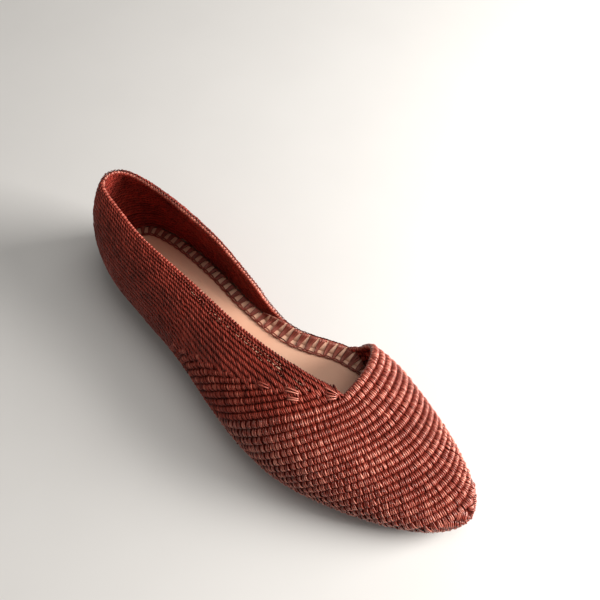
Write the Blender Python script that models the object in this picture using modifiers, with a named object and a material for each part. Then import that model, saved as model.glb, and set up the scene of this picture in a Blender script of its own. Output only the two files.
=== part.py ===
"""A right-foot flat shoe of crocheted raffia with a pointed toe and an open inner waist.

The tables are in millimetres and the meshes in metres.
Shoe frame: +Y runs to the toe, +X to the outer (lateral) side and +Z up.
"""
import bmesh
import bpy
import numpy as np

MM = 0.001

# Driving dimensions
WALL = 2.0
GAP = 0.3
ROW_RISE = 0.8
EDGE_RISE = 1.1
INSOLE_THICKNESS = 2.0
INSOLE_INSET = WALL + 1.0
LACING_THICKNESS = 1.2
LACING_CORD = 1.0
LACING_PITCH = 5.4
LACING_END_Y = 186.0
WEDGE_START = 0.04
WEDGE_FOOT = 0.70
WEDGE_TIP = 0.34
SOLE_EDGE = 0.4
SOLE_UNDERCUT = 1.4

# Shape of the last between its sections
CROWN_EXPONENT = 2.3
TUCK_ANGLE = 0.9
TUCK_RATE = 0.55
HEEL_AXIS_Y = 7.0
HEEL_BLEND = 6.0

# Fineness of the working curves
DENSE_SAMPLES = 2001
RIM_SAMPLES = 600
HEIGHT_STATIONS = 49
HEIGHT_SAMPLES = 25
PATH_STEP = 0.25
NORMAL_STEP_Y = 0.4
NORMAL_STEP_ACROSS = 0.004
WELD_DISTANCE = 0.02
SLIVER_EDGE = 0.005
TINY = 1e-9

# Sections of the last, heel to toe: the widest points, the spine over them, and the seat under them
SECTION_COLUMNS = ("y", "x_lateral", "x_medial", "x_spine", "z_spine", "z_widest", "z_seat")
SECTIONS = (
    (-3.0, 4.0, 4.0, -0.5, 71.0, 20.0, 7.0),
    (0.5, 16.2, -8.6, -1.0, 70.0, 20.0, 7.0),
    (11.0, 26.2, -17.8, -1.8, 67.5, 20.0, 7.0),
    (31.0, 32.2, -22.8, -2.8, 64.0, 20.0, 7.0),
    (60.0, 34.8, -24.0, -3.0, 59.5, 19.5, 6.8),
    (92.0, 37.2, -22.3, -2.6, 53.5, 18.0, 6.2),
    (124.0, 43.0, -24.8, -2.4, 51.0, 16.0, 5.5),
    (152.0, 46.0, -37.6, -2.9, 50.5, 14.0, 5.0),
    (178.0, 44.3, -42.0, -3.9, 45.5, 13.5, 4.5),
    (204.0, 35.8, -38.8, -4.0, 35.8, 13.0, 4.5),
    (228.0, 24.2, -32.3, -5.1, 27.2, 13.0, 5.5),
    (246.0, 12.0, -24.2, -7.2, 20.8, 12.8, 7.0),
    (255.0, 1.5, -17.0, -8.6, 17.0, 12.6, 8.0),
    (258.0, -7.5, -7.5, -9.0, 14.5, 12.5, 8.3),
)

# Edge of the opening on each side: the angle above the widest line, in degrees
EDGE_COLUMNS = ("y", "angle")
LATERAL_EDGE = (
    (-3.0, 65.0),
    (6.0, 68.0),
    (18.0, 69.0),
    (40.0, 67.5),
    (80.0, 72.5),
    (120.0, 77.5),
    (150.0, 82.5),
    (176.5, 88.3),
)
MEDIAL_EDGE = (
    (-3.0, 65.0),
    (6.0, 62.0),
    (18.0, 59.0),
    (40.0, 53.0),
    (75.0, 24.0),
    (98.0, 1.5),
    (108.0, -17.0),
    (116.0, -26.0),
    (130.0, -27.0),
    (160.0, -27.0),
)

# Seam where the quarter rows end against the vamp rows: rows counted from the notch down
SEAM_COLUMNS = ("row", "y", "across")
SEAM = (
    (0, 176.5, 0.012),
    (4.5, 147.0, 0.19),
    (6.5, 128.0, 0.29),
    (9.2, 101.0, 0.44),
    (14, 84.0, 0.66),
    (18, 70.0, 1.0),
)
QUARTER_ROWS = SEAM[-1][0]

# Short vamp rows meet the quarter rows one to one down to EVEN_ROWS, and fewer of them below it
EVEN_ROWS = 10
FEWER_ROWS = 0.25

# Vamp rows, throat to toe: the foremost point of a row and how far it sweeps back to each seat
VAMP_COLUMNS = ("row", "y_apex", "lateral_sweep", "medial_sweep", "roundness", "apex_across")
VAMP = (
    (0, 176.5, 74.0, 26.0, 0.05, 0.012),
    (5, 195.5, 59.0, 22.0, 0.20, -0.04),
    (10, 214.5, 50.0, 17.0, 0.30, -0.08),
    (16, 236.5, 34.0, 14.0, 0.39, -0.08),
    (20, 250.5, 17.0, 8.0, 0.45, -0.05),
    (22, 258.0, 0.0, 0.0, 0.45, 0.0),
)
VAMP_ROWS = VAMP[-1][0]
FIRST_ROW = dict(zip(VAMP_COLUMNS, VAMP[0]))
LATERAL_STEPS = 8
SILL_STEPS = 2
MEDIAL_STEPS = LATERAL_STEPS - SILL_STEPS
HEEL_COLUMNS = 13
HEEL_MEDIAL_Y = 22.0
SILL_COLUMNS = 4
SILL_START_Y = 118.0
SILL_FRONT_Y = FIRST_ROW["y_apex"] - FIRST_ROW["medial_sweep"]

# Width of the lacing along the shoe, narrower beside the open waist
LACING_WIDTH_COLUMNS = ("y", "width")
LACING_WIDTH = (
    (110.0, 6.0),
    (150.0, 4.4),
)

# Underside of the sole: flat under heel and forefoot, lifted at the arch and the toe
UNDERSIDE_COLUMNS = ("y", "z")
UNDERSIDE = (
    (-3.0, 0.0),
    (56.0, 0.0),
    (58.5, 2.4),
    (80.0, 3.0),
    (112.0, 2.0),
    (140.0, 0.0),
    (200.0, 0.0),
    (222.0, 1.0),
    (242.0, 2.8),
    (258.0, 4.6),
)
SOLE_STATIONS = 56

RAFFIA = ("raffia", (0.30, 0.085, 0.06, 1.0), 0.6)
LEATHER = ("insole_leather", (0.49, 0.24, 0.17, 1.0), 0.55)
SOLE_RUBBER = ("sole_rubber", (0.23, 0.13, 0.08, 1.0), 0.7)


def column(table, names, name):
    """Return one named column of a table as an array."""
    return np.array([row[names.index(name)] for row in table], dtype=float)


def smooth(places, values, at):
    """Cubic through (places, values), with each slope taken from the neighbouring points."""
    places = np.asarray(places, dtype=float)
    values = np.asarray(values, dtype=float)
    slopes = np.gradient(values, places)
    at = np.asarray(at, dtype=float)
    i = np.clip(np.searchsorted(places, at, side="right") - 1, 0, len(places) - 2)
    span = places[i + 1] - places[i]
    t = (at - places[i]) / span
    start = (1 + 2 * t) * (1 - t) ** 2 * values[i] + t * (1 - t) ** 2 * span * slopes[i]
    end = t * t * (3 - 2 * t) * values[i + 1] + t * t * (t - 1) * span * slopes[i + 1]
    return start + end


def through_sections(values, place, heel_sign=1, toe_sign=1):
    """Read a section column at a place along the table, mirrored or turned over its two ends."""
    before = values[1] if heel_sign > 0 else 2 * values[0] - values[1]
    after = values[-2] if toe_sign > 0 else 2 * values[-1] - values[-2]
    padded = np.concatenate([[before], values, [after]])
    return smooth(np.arange(-1, len(values) + 1), padded, place)


SECTION = {name: column(SECTIONS, SECTION_COLUMNS, name) for name in SECTION_COLUMNS}
HALF_WIDTH = (SECTION["x_lateral"] - SECTION["x_medial"]) / 2
CENTRE = (SECTION["x_lateral"] + SECTION["x_medial"]) / 2
HEEL_Y = SECTION["y"][0]
TOE_Y = SECTION["y"][-1]
DENSE_PLACES = np.linspace(0, len(SECTIONS) - 1, DENSE_SAMPLES)
DENSE_Y = through_sections(SECTION["y"], DENSE_PLACES)


def last_point(y, across):
    """Point on the last: across runs from +1 at the lateral seat over 0 at the spine to -1."""
    y, across = np.broadcast_arrays(np.asarray(y, dtype=float), np.asarray(across, dtype=float))
    place = np.interp(y, DENSE_Y, DENSE_PLACES)
    half = np.maximum(through_sections(HALF_WIDTH, place, -1, -1), 0.0)
    x_edge = through_sections(CENTRE, place) + np.where(across >= 0, half, -half)
    x_spine = through_sections(SECTION["x_spine"], place)
    z_spine = through_sections(SECTION["z_spine"], place, 1, -1)
    z_widest = through_sections(SECTION["z_widest"], place)
    z_seat = through_sections(SECTION["z_seat"], place)
    reach = (y - HEEL_AXIS_Y) / HEEL_BLEND
    y_spine = HEEL_AXIS_Y + HEEL_BLEND / 2 * (reach + np.sqrt(reach * reach + 1))
    angle = np.pi / 2 - np.abs(across) * (np.pi / 2 + TUCK_ANGLE)
    upper_angle = np.clip(angle, 0.0, np.pi / 2)
    tuck = np.maximum(-angle, 0.0)
    width = np.cos(upper_angle) ** (2 / CROWN_EXPONENT) * np.cos(tuck * TUCK_RATE)
    height = np.sin(upper_angle) ** (2 / CROWN_EXPONENT)
    depth = np.sin(tuck) / np.sin(TUCK_ANGLE)
    x = x_spine + (x_edge - x_spine) * width
    z = z_widest + (z_spine - z_widest) * height - (z_widest - z_seat) * depth
    return np.stack([x, y_spine + (y - y_spine) * width, z], axis=-1)


def last_normal(y, across):
    """Unit normal of the last, pointing out of the shoe."""
    ahead = last_point(np.minimum(y + NORMAL_STEP_Y, TOE_Y), across)
    behind = last_point(np.maximum(y - NORMAL_STEP_Y, HEEL_Y), across)
    out = last_point(y, across + NORMAL_STEP_ACROSS)
    back = last_point(y, across - NORMAL_STEP_ACROSS)
    normal = np.cross(out - back, ahead - behind)
    return normal / np.maximum(np.linalg.norm(normal, axis=-1, keepdims=True), TINY)


def raised(y, across, rise):
    """Points on the last lifted along its normal."""
    rise = np.asarray(rise, dtype=float)
    return last_point(y, across) + last_normal(y, across) * rise[..., None]


def across_of_angle(degrees):
    """Turn an angle above the widest line into a position across the last."""
    return (np.pi / 2 - np.radians(degrees)) / (np.pi / 2 + TUCK_ANGLE)


def edge_across(table, y):
    """Position across the last of the opening's edge at y."""
    angle = smooth(column(table, EDGE_COLUMNS, "y"), column(table, EDGE_COLUMNS, "angle"), y)
    return across_of_angle(angle)


def seam_point(row):
    """Place (y, across) where a quarter row ends on the seam."""
    rows = column(SEAM, SEAM_COLUMNS, "row")
    y = smooth(rows, column(SEAM, SEAM_COLUMNS, "y"), row)
    across = smooth(rows, column(SEAM, SEAM_COLUMNS, "across"), row)
    return float(y), float(across)


def sweep(t, roundness):
    """Share of a lateral sweep at t, from 0 at the apex of a row to 1 at the seat."""
    return (1 + roundness) * t * t / (t + roundness)


def medial_sweep(t):
    """Share of a medial sweep at t, which eases into the seat as well."""
    return t * t * (3 - 2 * t)


def vamp_value(name, row):
    """Read a vamp column at a row, which may be a half row."""
    return smooth(column(VAMP, VAMP_COLUMNS, "row"), column(VAMP, VAMP_COLUMNS, name), row)


def vamp_line(half_row):
    """Points of one line of the vamp, from the lateral seat over the spine to the medial seat."""
    row = half_row / 2
    apex = vamp_value("apex_across", row)
    sill = -edge_across(MEDIAL_EDGE, SILL_FRONT_Y)
    lateral_t = np.linspace(1, 0, LATERAL_STEPS + 1)
    sill_t = (apex - sill) / (1 + apex)
    beside_sill = np.concatenate([
        np.linspace(0, sill_t, MEDIAL_STEPS + 1)[1:],
        np.linspace(sill_t, 1, SILL_STEPS + 1)[1:],
    ])
    at_tip = np.linspace(0, 1, LATERAL_STEPS + 1)[1:]
    medial_t = beside_sill + (at_tip - beside_sill) * row / VAMP_ROWS
    lateral_y = vamp_value("lateral_sweep", row) * sweep(lateral_t, vamp_value("roundness", row))
    medial_y = vamp_value("medial_sweep", row) * medial_sweep(medial_t)
    y = vamp_value("y_apex", row) - np.concatenate([lateral_y, medial_y])
    across = np.concatenate([apex + (1 - apex) * lateral_t, apex - (1 + apex) * medial_t])
    rise = np.zeros(len(y))
    if half_row % 2:
        rise[1:-1] = ROW_RISE
    return raised(np.clip(y, HEEL_Y, TOE_Y), across, rise)


def short_rows(seam_row):
    """Number of short vamp rows between the first vamp row and a place on the seam."""
    return np.minimum(seam_row, EVEN_ROWS) + np.maximum(seam_row - EVEN_ROWS, 0) * FEWER_ROWS


def seam_stops():
    """Places on the seam where a line of the short rows starts, two to a row where they are even."""
    even = np.arange(2 * EVEN_ROWS) / 2
    return np.concatenate([even, np.arange(EVEN_ROWS, QUARTER_ROWS + 1)])


def short_line(seam_row):
    """Points of one short vamp line behind the notch, from the seam to the lateral seat."""
    rows = column(SEAM, SEAM_COLUMNS, "row")
    dense = np.linspace(0, QUARTER_ROWS, DENSE_SAMPLES)
    dense_across = smooth(rows, column(SEAM, SEAM_COLUMNS, "across"), dense)
    start = seam_point(seam_row)[1]
    across = start + (1 - start) * np.linspace(0, 1, LATERAL_STEPS + 1)
    beside = np.interp(across, dense_across, dense)
    seam_y = smooth(rows, column(SEAM, SEAM_COLUMNS, "y"), beside)
    apex = FIRST_ROW["apex_across"]
    first_sweep = sweep((across - apex) / (1 - apex), FIRST_ROW["roundness"])
    first_y = FIRST_ROW["y_apex"] - FIRST_ROW["lateral_sweep"] * first_sweep
    count = short_rows(seam_row)
    y = first_y + (seam_y - first_y) * count / np.maximum(short_rows(beside), TINY)
    rise = np.zeros(len(y))
    rise[1:-1] = ROW_RISE * (1 - abs(2 * (count % 1) - 1))
    return raised(y, across, rise)


def even_across(y, top, bottom, count):
    """Positions across the last from top to bottom, the same distance apart along its surface."""
    across = np.linspace(top, bottom, HEIGHT_SAMPLES)
    steps = np.linalg.norm(np.diff(last_point(y, across), axis=0), axis=1)
    length = np.concatenate([[0], np.cumsum(steps)])
    return np.interp(np.linspace(0, length[-1], count), length, across)


def quarter_line(y, top, bottom, rows):
    """Points down one column of the quarter, two for each row under the edge."""
    count = 2 * rows + 1
    rise = np.where(np.arange(count) % 2, ROW_RISE, 0.0)
    if rows:
        rise[1] = EDGE_RISE
    return raised(np.full(count, y), even_across(y, top, bottom, count), rise)


def heel_path():
    """Evenly spaced (y, side) stops round the heel, from the seam's foot to the medial side."""
    foot_y = seam_point(QUARTER_ROWS)[0]
    lateral = np.arange(foot_y, HEEL_Y, -PATH_STEP)
    medial = np.arange(HEEL_Y, HEEL_MEDIAL_Y + PATH_STEP, PATH_STEP)
    y = np.concatenate([lateral, medial])
    side = np.concatenate([np.ones(len(lateral)), -np.ones(len(medial))])
    ring = last_point(y, side * across_of_angle(0.0))
    length = np.concatenate([[0], np.cumsum(np.linalg.norm(np.diff(ring, axis=0), axis=1))])
    stops = np.interp(np.linspace(0, length[-1], HEEL_COLUMNS + 1), length, np.arange(len(y)))
    stops = np.rint(stops).astype(int)[1:]
    return list(zip(y[stops], side[stops]))


def medial_heights():
    """Height of the medial wall along the surface, with the y where it is measured."""
    y = np.linspace(HEEL_MEDIAL_Y, SILL_START_Y, HEIGHT_STATIONS)
    top = edge_across(MEDIAL_EDGE, y)
    t = np.linspace(0, 1, HEIGHT_SAMPLES)
    across = top[:, None] + (1 - top[:, None]) * t
    wall = last_point(y[:, None] + 0 * t, -across)
    return y, np.linalg.norm(np.diff(wall, axis=1), axis=2).sum(axis=1)


def quarter_lines():
    """All columns of the quarter, from the notch back round the heel to the front of the sill."""
    lines = []
    for rows in range(QUARTER_ROWS + 1):
        y, across = seam_point(rows)
        top = across if rows == 0 else edge_across(LATERAL_EDGE, y)
        lines.append(quarter_line(y, top, across, rows))
    for y, side in heel_path():
        edge = LATERAL_EDGE if side > 0 else MEDIAL_EDGE
        lines.append(quarter_line(y, side * edge_across(edge, y), side, QUARTER_ROWS))
    y_fine, heights = medial_heights()
    pitch = heights[0] / QUARTER_ROWS
    for rows in range(QUARTER_ROWS - 1, 0, -1):
        y = np.interp(-rows * pitch, -heights, y_fine)
        lines.append(quarter_line(y, -edge_across(MEDIAL_EDGE, y), -1.0, rows))
    start_y = np.interp(-pitch, -heights, y_fine)
    for y in np.linspace(start_y, SILL_FRONT_Y, SILL_COLUMNS + 1)[1:-1]:
        lines.append(quarter_line(y, -edge_across(MEDIAL_EDGE, y), -1.0, 1))
    lines.append(vamp_line(0)[-SILL_STEPS - 1:])
    return lines


def seam_corners():
    """Points of the seam halfway between two quarter rows, where a short row starts."""
    places = [seam_point(row + 0.5) for row in range(EVEN_ROWS)]
    return [raised(np.array([y]), np.array([across]), np.zeros(1)) for y, across in places]


def stitch(mesh, lines, corners=()):
    """Join neighbouring lines of points with faces that point out of the shoe.

    Where a line is longer than the next, one face closes the ends, over the corner given for it.
    """
    placed = [[mesh.verts.new(point * MM) for point in line] for line in lines]
    for number, (a, b) in enumerate(zip(placed, placed[1:])):
        common = min(len(a), len(b))
        for i in range(common - 1):
            mesh.faces.new((a[i], b[i], b[i + 1], a[i + 1]))
        if len(a) != len(b):
            corner = corners[number] if number < len(corners) else ()
            between = [mesh.verts.new(point * MM) for point in corner]
            mesh.faces.new([a[common - 1]] + b[common - 1:] + between + a[:common - 1:-1])


def material_of(finish):
    """Make or fetch the Principled material of a finish."""
    name, colour, roughness = finish
    found = bpy.data.materials.get(name)
    if found:
        return found
    made = bpy.data.materials.new(name)
    made.use_nodes = True
    shader = made.node_tree.nodes["Principled BSDF"]
    shader.inputs["Base Color"].default_value = colour
    shader.inputs["Roughness"].default_value = roughness
    shader.inputs["Metallic"].default_value = 0.0
    made.diffuse_color = colour
    return made


def add_piece(name, mesh, finish, collection):
    """Turn a finished mesh into a named object with its material."""
    bmesh.ops.remove_doubles(mesh, verts=mesh.verts, dist=WELD_DISTANCE * MM)
    bmesh.ops.dissolve_degenerate(mesh, edges=mesh.edges, dist=SLIVER_EDGE * MM)
    data = bpy.data.meshes.new(name)
    mesh.to_mesh(data)
    mesh.free()
    data.materials.append(material_of(finish))
    piece = bpy.data.objects.new(name, data)
    collection.objects.link(piece)
    return piece


def add_upper(collection):
    """Crocheted wall: an open surface with raised rows, thickened towards the foot."""
    mesh = bmesh.new()
    stitch(mesh, [vamp_line(half) for half in range(2 * VAMP_ROWS + 1)])
    stitch(mesh, [short_line(seam_row) for seam_row in seam_stops()])
    stitch(mesh, quarter_lines(), seam_corners())
    upper = add_piece("upper", mesh, RAFFIA, collection)
    shell = upper.modifiers.new("wall", "SOLIDIFY")
    shell.thickness = WALL * MM
    shell.offset = -1.0
    shell.use_quality_normals = True
    return upper


def seat_outline(stations, inset):
    """Lateral and medial edges of the seat at the stations, moved inwards by inset, as (x, y)."""
    lateral = last_point(stations, np.ones(len(stations)))[:, :2]
    medial = last_point(stations, -np.ones(len(stations)))[:, :2]
    loop = np.concatenate([lateral, medial[-2:0:-1]])
    tangent = np.roll(loop, -1, axis=0) - np.roll(loop, 1, axis=0)
    tangent /= np.linalg.norm(tangent, axis=1, keepdims=True)
    inward = np.stack([-tangent[:, 1], tangent[:, 0]], axis=1)
    moved = loop + inward * inset
    count = len(stations)
    return moved[:count], np.concatenate([moved[:1], moved[:count - 2:-1]])


def sole_stations():
    """Values of y for the sole pieces, close together where heel and toe turn."""
    places = np.linspace(0, len(SECTIONS) - 1, SOLE_STATIONS)
    breast = column(UNDERSIDE, UNDERSIDE_COLUMNS, "y")[1:3]
    y = np.concatenate([np.interp(places, DENSE_PLACES, DENSE_Y), breast])
    return np.sort(y)


def seat_height(y):
    """Height of the seat, where the wall of the upper ends."""
    place = np.interp(y, DENSE_Y, DENSE_PLACES)
    return through_sections(SECTION["z_seat"], place)


def plate(stations, low_inset, high_inset, low_z, high_z):
    """Closed plate between two outlines of the seat, with the given heights at each station."""
    mesh = bmesh.new()
    rings = []
    for inset, z in ((low_inset, low_z), (high_inset, high_z)):
        lateral, medial = seat_outline(stations, inset)
        sides = []
        for edge in (lateral, medial):
            sides.append([mesh.verts.new((x * MM, y * MM, h * MM)) for (x, y), h in zip(edge, z)])
        rings.append(sides)
    (low_lateral, low_medial), (high_lateral, high_medial) = rings
    for i in range(len(stations) - 1):
        j = i + 1
        mesh.faces.new((high_lateral[i], high_lateral[j], high_medial[j], high_medial[i]))
        mesh.faces.new((low_medial[i], low_medial[j], low_lateral[j], low_lateral[i]))
        mesh.faces.new((low_lateral[i], low_lateral[j], high_lateral[j], high_lateral[i]))
        mesh.faces.new((high_medial[i], high_medial[j], low_medial[j], low_medial[i]))
    return mesh


def add_outsole(collection):
    """Thin sole with a low heel, a lifted arch and a toe spring."""
    y = sole_stations()
    under = [column(UNDERSIDE, UNDERSIDE_COLUMNS, name) for name in UNDERSIDE_COLUMNS]
    mesh = plate(y, SOLE_UNDERCUT, -SOLE_EDGE, np.interp(y, *under), seat_height(y) - GAP)
    return add_piece("outsole", mesh, SOLE_RUBBER, collection)


def add_insole(collection):
    """Leather-faced footbed lying on the sole inside the wall."""
    y = sole_stations()
    top = seat_height(y) + INSOLE_THICKNESS
    mesh = plate(y, INSOLE_INSET, INSOLE_INSET, seat_height(y), top)
    return add_piece("insole", mesh, LEATHER, collection)


def lacing_path(inset):
    """Rim of the insole from the lateral side round the heel to the medial side, as (x, y)."""
    y = np.interp(np.linspace(0, len(SECTIONS) - 1, RIM_SAMPLES), DENSE_PLACES, DENSE_Y)
    lateral, medial = seat_outline(y, inset)
    used = y < LACING_END_Y
    return np.concatenate([lateral[used][::-1], medial[used][1:]])


def lacing_rails():
    """Lines along the rim, outer cord to inner cord, with the distance run along the first."""
    first = INSOLE_INSET + GAP
    outer = lacing_path(first)
    inward = lacing_path(first + 1.0) - outer
    known = [column(LACING_WIDTH, LACING_WIDTH_COLUMNS, name) for name in LACING_WIDTH_COLUMNS]
    width = np.interp(outer[:, 1], *known)[:, None]
    rails = [outer + inward * depth for depth in (0.0, LACING_CORD, width - LACING_CORD, width)]
    steps = np.linalg.norm(np.diff(outer, axis=0), axis=1)
    return rails, np.concatenate([[0], np.cumsum(steps)])


def lacing_layer(mesh, lift):
    """Corners of the lacing at one height: outer cord, wedge feet, wedge tips and inner cord."""
    rails, distance = lacing_rails()
    cells = int(round(distance[-1] / LACING_PITCH))
    cord_stops = np.arange(cells + 1)
    starts = np.arange(cells) + WEDGE_START
    wedge_stops = [np.stack([starts, starts + wedge], axis=1).ravel() for wedge in (WEDGE_FOOT, WEDGE_TIP)]
    layer = []
    for rail, stops in zip(rails, (cord_stops, *wedge_stops, cord_stops)):
        at = stops / cells * distance[-1]
        x = np.interp(at, distance, rail[:, 0])
        y = np.interp(at, distance, rail[:, 1])
        z = seat_height(y) + INSOLE_THICKNESS + GAP + lift
        layer.append([mesh.verts.new(point * MM) for point in np.stack([x, y, z], axis=1)])
    return layer


def lacing_faces(mesh, layer, turn):
    """Flat faces of one side of the lacing, with a window between each wedge and the next."""
    outer, foot, tip, inner = layer
    for cell in range(len(outer) - 1):
        a, b = 2 * cell, 2 * cell + 1
        mesh.faces.new((foot[a], foot[b], tip[b], tip[a])[::turn])
        mesh.faces.new((outer[cell], outer[cell + 1], foot[b], foot[a])[::turn])
        mesh.faces.new((tip[a], tip[b], inner[cell + 1], inner[cell])[::turn])
        if b + 1 < len(foot):
            mesh.faces.new((outer[cell + 1], foot[b + 1], foot[b])[::turn])
            mesh.faces.new((tip[b], tip[b + 1], inner[cell + 1])[::turn])


def lacing_walls(mesh, high, low):
    """Upright faces round the lacing and round each of its windows."""
    def wall(*ring):
        for (line_a, i), (line_b, j) in zip(ring, ring[1:]):
            mesh.faces.new((high[line_b][j], high[line_a][i], low[line_a][i], low[line_b][j]))

    cells = len(high[0]) - 1
    around = [(0, stop) for stop in range(cells + 1)]
    around += [(1, 2 * cells - 1), (2, 2 * cells - 1)]
    around += [(3, stop) for stop in range(cells, -1, -1)]
    around += [(2, 0), (1, 0), (0, 0)]
    wall(*around)
    for cell in range(cells - 1):
        a, b = 2 * cell + 1, 2 * cell + 2
        wall((1, b), (1, a), (2, a), (2, b), (1, b))


def add_lacing(collection):
    """Raffia lacing over the rim of the insole: two cords, and wedges with windows between them."""
    mesh = bmesh.new()
    low, high = (lacing_layer(mesh, lift) for lift in (0.0, LACING_THICKNESS))
    lacing_faces(mesh, high, 1)
    lacing_faces(mesh, low, -1)
    lacing_walls(mesh, high, low)
    bmesh.ops.recalc_face_normals(mesh, faces=mesh.faces)
    return add_piece("rim_lacing", mesh, RAFFIA, collection)


def centre_on_box(pieces):
    """Stand the shoe with the middle of its box over the origin."""
    corners = np.array([vertex.co for piece in pieces for vertex in piece.data.vertices])
    middle = (corners.min(axis=0) + corners.max(axis=0)) / 2
    for piece in pieces:
        piece.location = (-middle[0], -middle[1], 0.0)


def main():
    """Build the shoe in its own collection."""
    for item in list(bpy.data.objects):
        bpy.data.objects.remove(item, do_unlink=True)
    collection = bpy.data.collections.new("raffia_flat_shoe")
    bpy.context.scene.collection.children.link(collection)
    builders = (add_outsole, add_insole, add_upper, add_lacing)
    centre_on_box([build(collection) for build in builders])


main()
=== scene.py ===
"""Looks of a right-foot flat shoe: crocheted raffia on a leather insole and a thin rubber sole.

The tables are in millimetres in the frame of the last: +Y to the toe, +X to the outer side, +Z up.
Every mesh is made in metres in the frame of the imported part.
"""

import logging
import math
from collections.abc import Sequence
from dataclasses import dataclass, field
from enum import Enum

import bpy
import numpy as np
from mathutils import Matrix, Vector


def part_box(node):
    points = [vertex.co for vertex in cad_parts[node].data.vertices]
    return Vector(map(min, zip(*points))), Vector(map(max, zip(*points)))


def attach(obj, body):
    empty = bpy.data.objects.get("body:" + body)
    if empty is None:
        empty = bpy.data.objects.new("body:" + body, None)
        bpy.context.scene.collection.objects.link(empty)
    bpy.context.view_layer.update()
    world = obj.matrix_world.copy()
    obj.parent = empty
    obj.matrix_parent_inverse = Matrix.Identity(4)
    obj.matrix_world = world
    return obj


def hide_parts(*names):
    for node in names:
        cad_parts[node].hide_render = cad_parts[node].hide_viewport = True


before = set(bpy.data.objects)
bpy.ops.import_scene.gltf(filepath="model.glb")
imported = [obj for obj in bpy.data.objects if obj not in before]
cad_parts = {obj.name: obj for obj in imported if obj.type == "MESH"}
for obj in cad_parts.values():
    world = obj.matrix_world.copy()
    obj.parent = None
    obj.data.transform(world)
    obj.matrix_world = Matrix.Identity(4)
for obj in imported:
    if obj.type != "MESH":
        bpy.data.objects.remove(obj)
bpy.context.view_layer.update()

log = logging.getLogger("flat_shoe")

Array = np.ndarray
Colour = tuple[float, float, float, float]
Socket = bpy.types.NodeSocket
MM = 0.001
TINY = 1e-9
BODY = "root"

# Sections of the last, heel to toe: the widest points, the spine over them, and the seat under them
SECTION_COLUMNS = ("y", "x_lateral", "x_medial", "x_spine", "z_spine", "z_widest", "z_seat")
SECTIONS = (
    (-3.0, 4.0, 4.0, -0.5, 71.0, 20.0, 7.0),
    (0.5, 16.2, -8.6, -1.0, 70.0, 20.0, 7.0),
    (11.0, 26.2, -17.8, -1.8, 67.5, 20.0, 7.0),
    (31.0, 32.2, -22.8, -2.8, 64.0, 20.0, 7.0),
    (60.0, 34.8, -24.0, -3.0, 59.5, 19.5, 6.8),
    (92.0, 37.2, -22.3, -2.6, 53.5, 18.0, 6.2),
    (124.0, 43.0, -24.8, -2.4, 51.0, 16.0, 5.5),
    (152.0, 46.0, -37.6, -2.9, 50.5, 14.0, 5.0),
    (178.0, 44.3, -42.0, -3.9, 45.5, 13.5, 4.5),
    (204.0, 35.8, -38.8, -4.0, 35.8, 13.0, 4.5),
    (228.0, 24.2, -32.3, -5.1, 27.2, 13.0, 5.5),
    (246.0, 12.0, -24.2, -7.2, 20.8, 12.8, 7.0),
    (255.0, 1.5, -17.0, -8.6, 17.0, 12.6, 8.0),
    (258.0, -7.5, -7.5, -9.0, 14.5, 12.5, 8.3),
)

# Edge of the opening on each side: the angle above the widest line, in degrees
EDGE_COLUMNS = ("y", "angle")
LATERAL_EDGE = (
    (-3.0, 65.0), (6.0, 68.0), (18.0, 69.0), (40.0, 67.5),
    (80.0, 72.5), (120.0, 77.5), (150.0, 82.5), (176.5, 88.3),
)
MEDIAL_EDGE = (
    (-3.0, 65.0), (6.0, 62.0), (18.0, 59.0), (40.0, 53.0), (75.0, 24.0),
    (98.0, 1.5), (108.0, -17.0), (116.0, -26.0), (130.0, -27.0), (160.0, -27.0),
)

# Seam where the quarter rows end against the vamp rows: rows counted from the notch down
SEAM_COLUMNS = ("row", "y", "across")
SEAM = (
    (0, 176.5, 0.012), (4.5, 147.0, 0.19), (6.5, 128.0, 0.29),
    (9.2, 101.0, 0.44), (14, 84.0, 0.66), (18, 70.0, 1.0),
)

# Short vamp rows meet the quarter rows one to one down to EVEN_ROWS, and fewer of them below it
EVEN_ROWS = 10
FEWER_ROWS = 0.25

# Vamp rows, throat to toe: the foremost point of a row and how far it sweeps back to each seat
VAMP_COLUMNS = ("row", "y_apex", "lateral_sweep", "medial_sweep", "roundness", "apex_across")
VAMP = (
    (0, 176.5, 74.0, 26.0, 0.05, 0.012),
    (5, 195.5, 59.0, 22.0, 0.20, -0.04),
    (10, 214.5, 50.0, 17.0, 0.30, -0.08),
    (16, 236.5, 34.0, 14.0, 0.39, -0.08),
    (20, 250.5, 17.0, 8.0, 0.45, -0.05),
    (22, 258.0, 0.0, 0.0, 0.45, 0.0),
)


class Side(Enum):
    """Face of the crocheted wall that a stitch lies on."""

    OUTER = 1
    INNER = -1


def column(table: Sequence[Sequence[float]], names: Sequence[str], name: str) -> Array:
    """Read one named column of a table.

    Args:
        table: Rows of numbers.
        names: Names of the columns, in order.
        name: The column to read.

    Returns:
        The column as an array.
    """
    return np.array([row[names.index(name)] for row in table], dtype=float)


def smooth(places: Array, values: Array, at: Array) -> Array:
    """Read a cubic through (places, values), with each slope taken from the neighbouring points.

    Args:
        places: Rising positions of the known points.
        values: Values at those positions.
        at: Positions to read.

    Returns:
        The values at the positions asked for.
    """
    slopes = np.gradient(values, places)
    i = np.clip(np.searchsorted(places, at, side="right") - 1, 0, len(places) - 2)
    span = places[i + 1] - places[i]
    t = (at - places[i]) / span
    start = (1 + 2 * t) * (1 - t) ** 2 * values[i] + t * (1 - t) ** 2 * span * slopes[i]
    end = t * t * (3 - 2 * t) * values[i + 1] + t * t * (t - 1) * span * slopes[i + 1]
    return start + end


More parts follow.
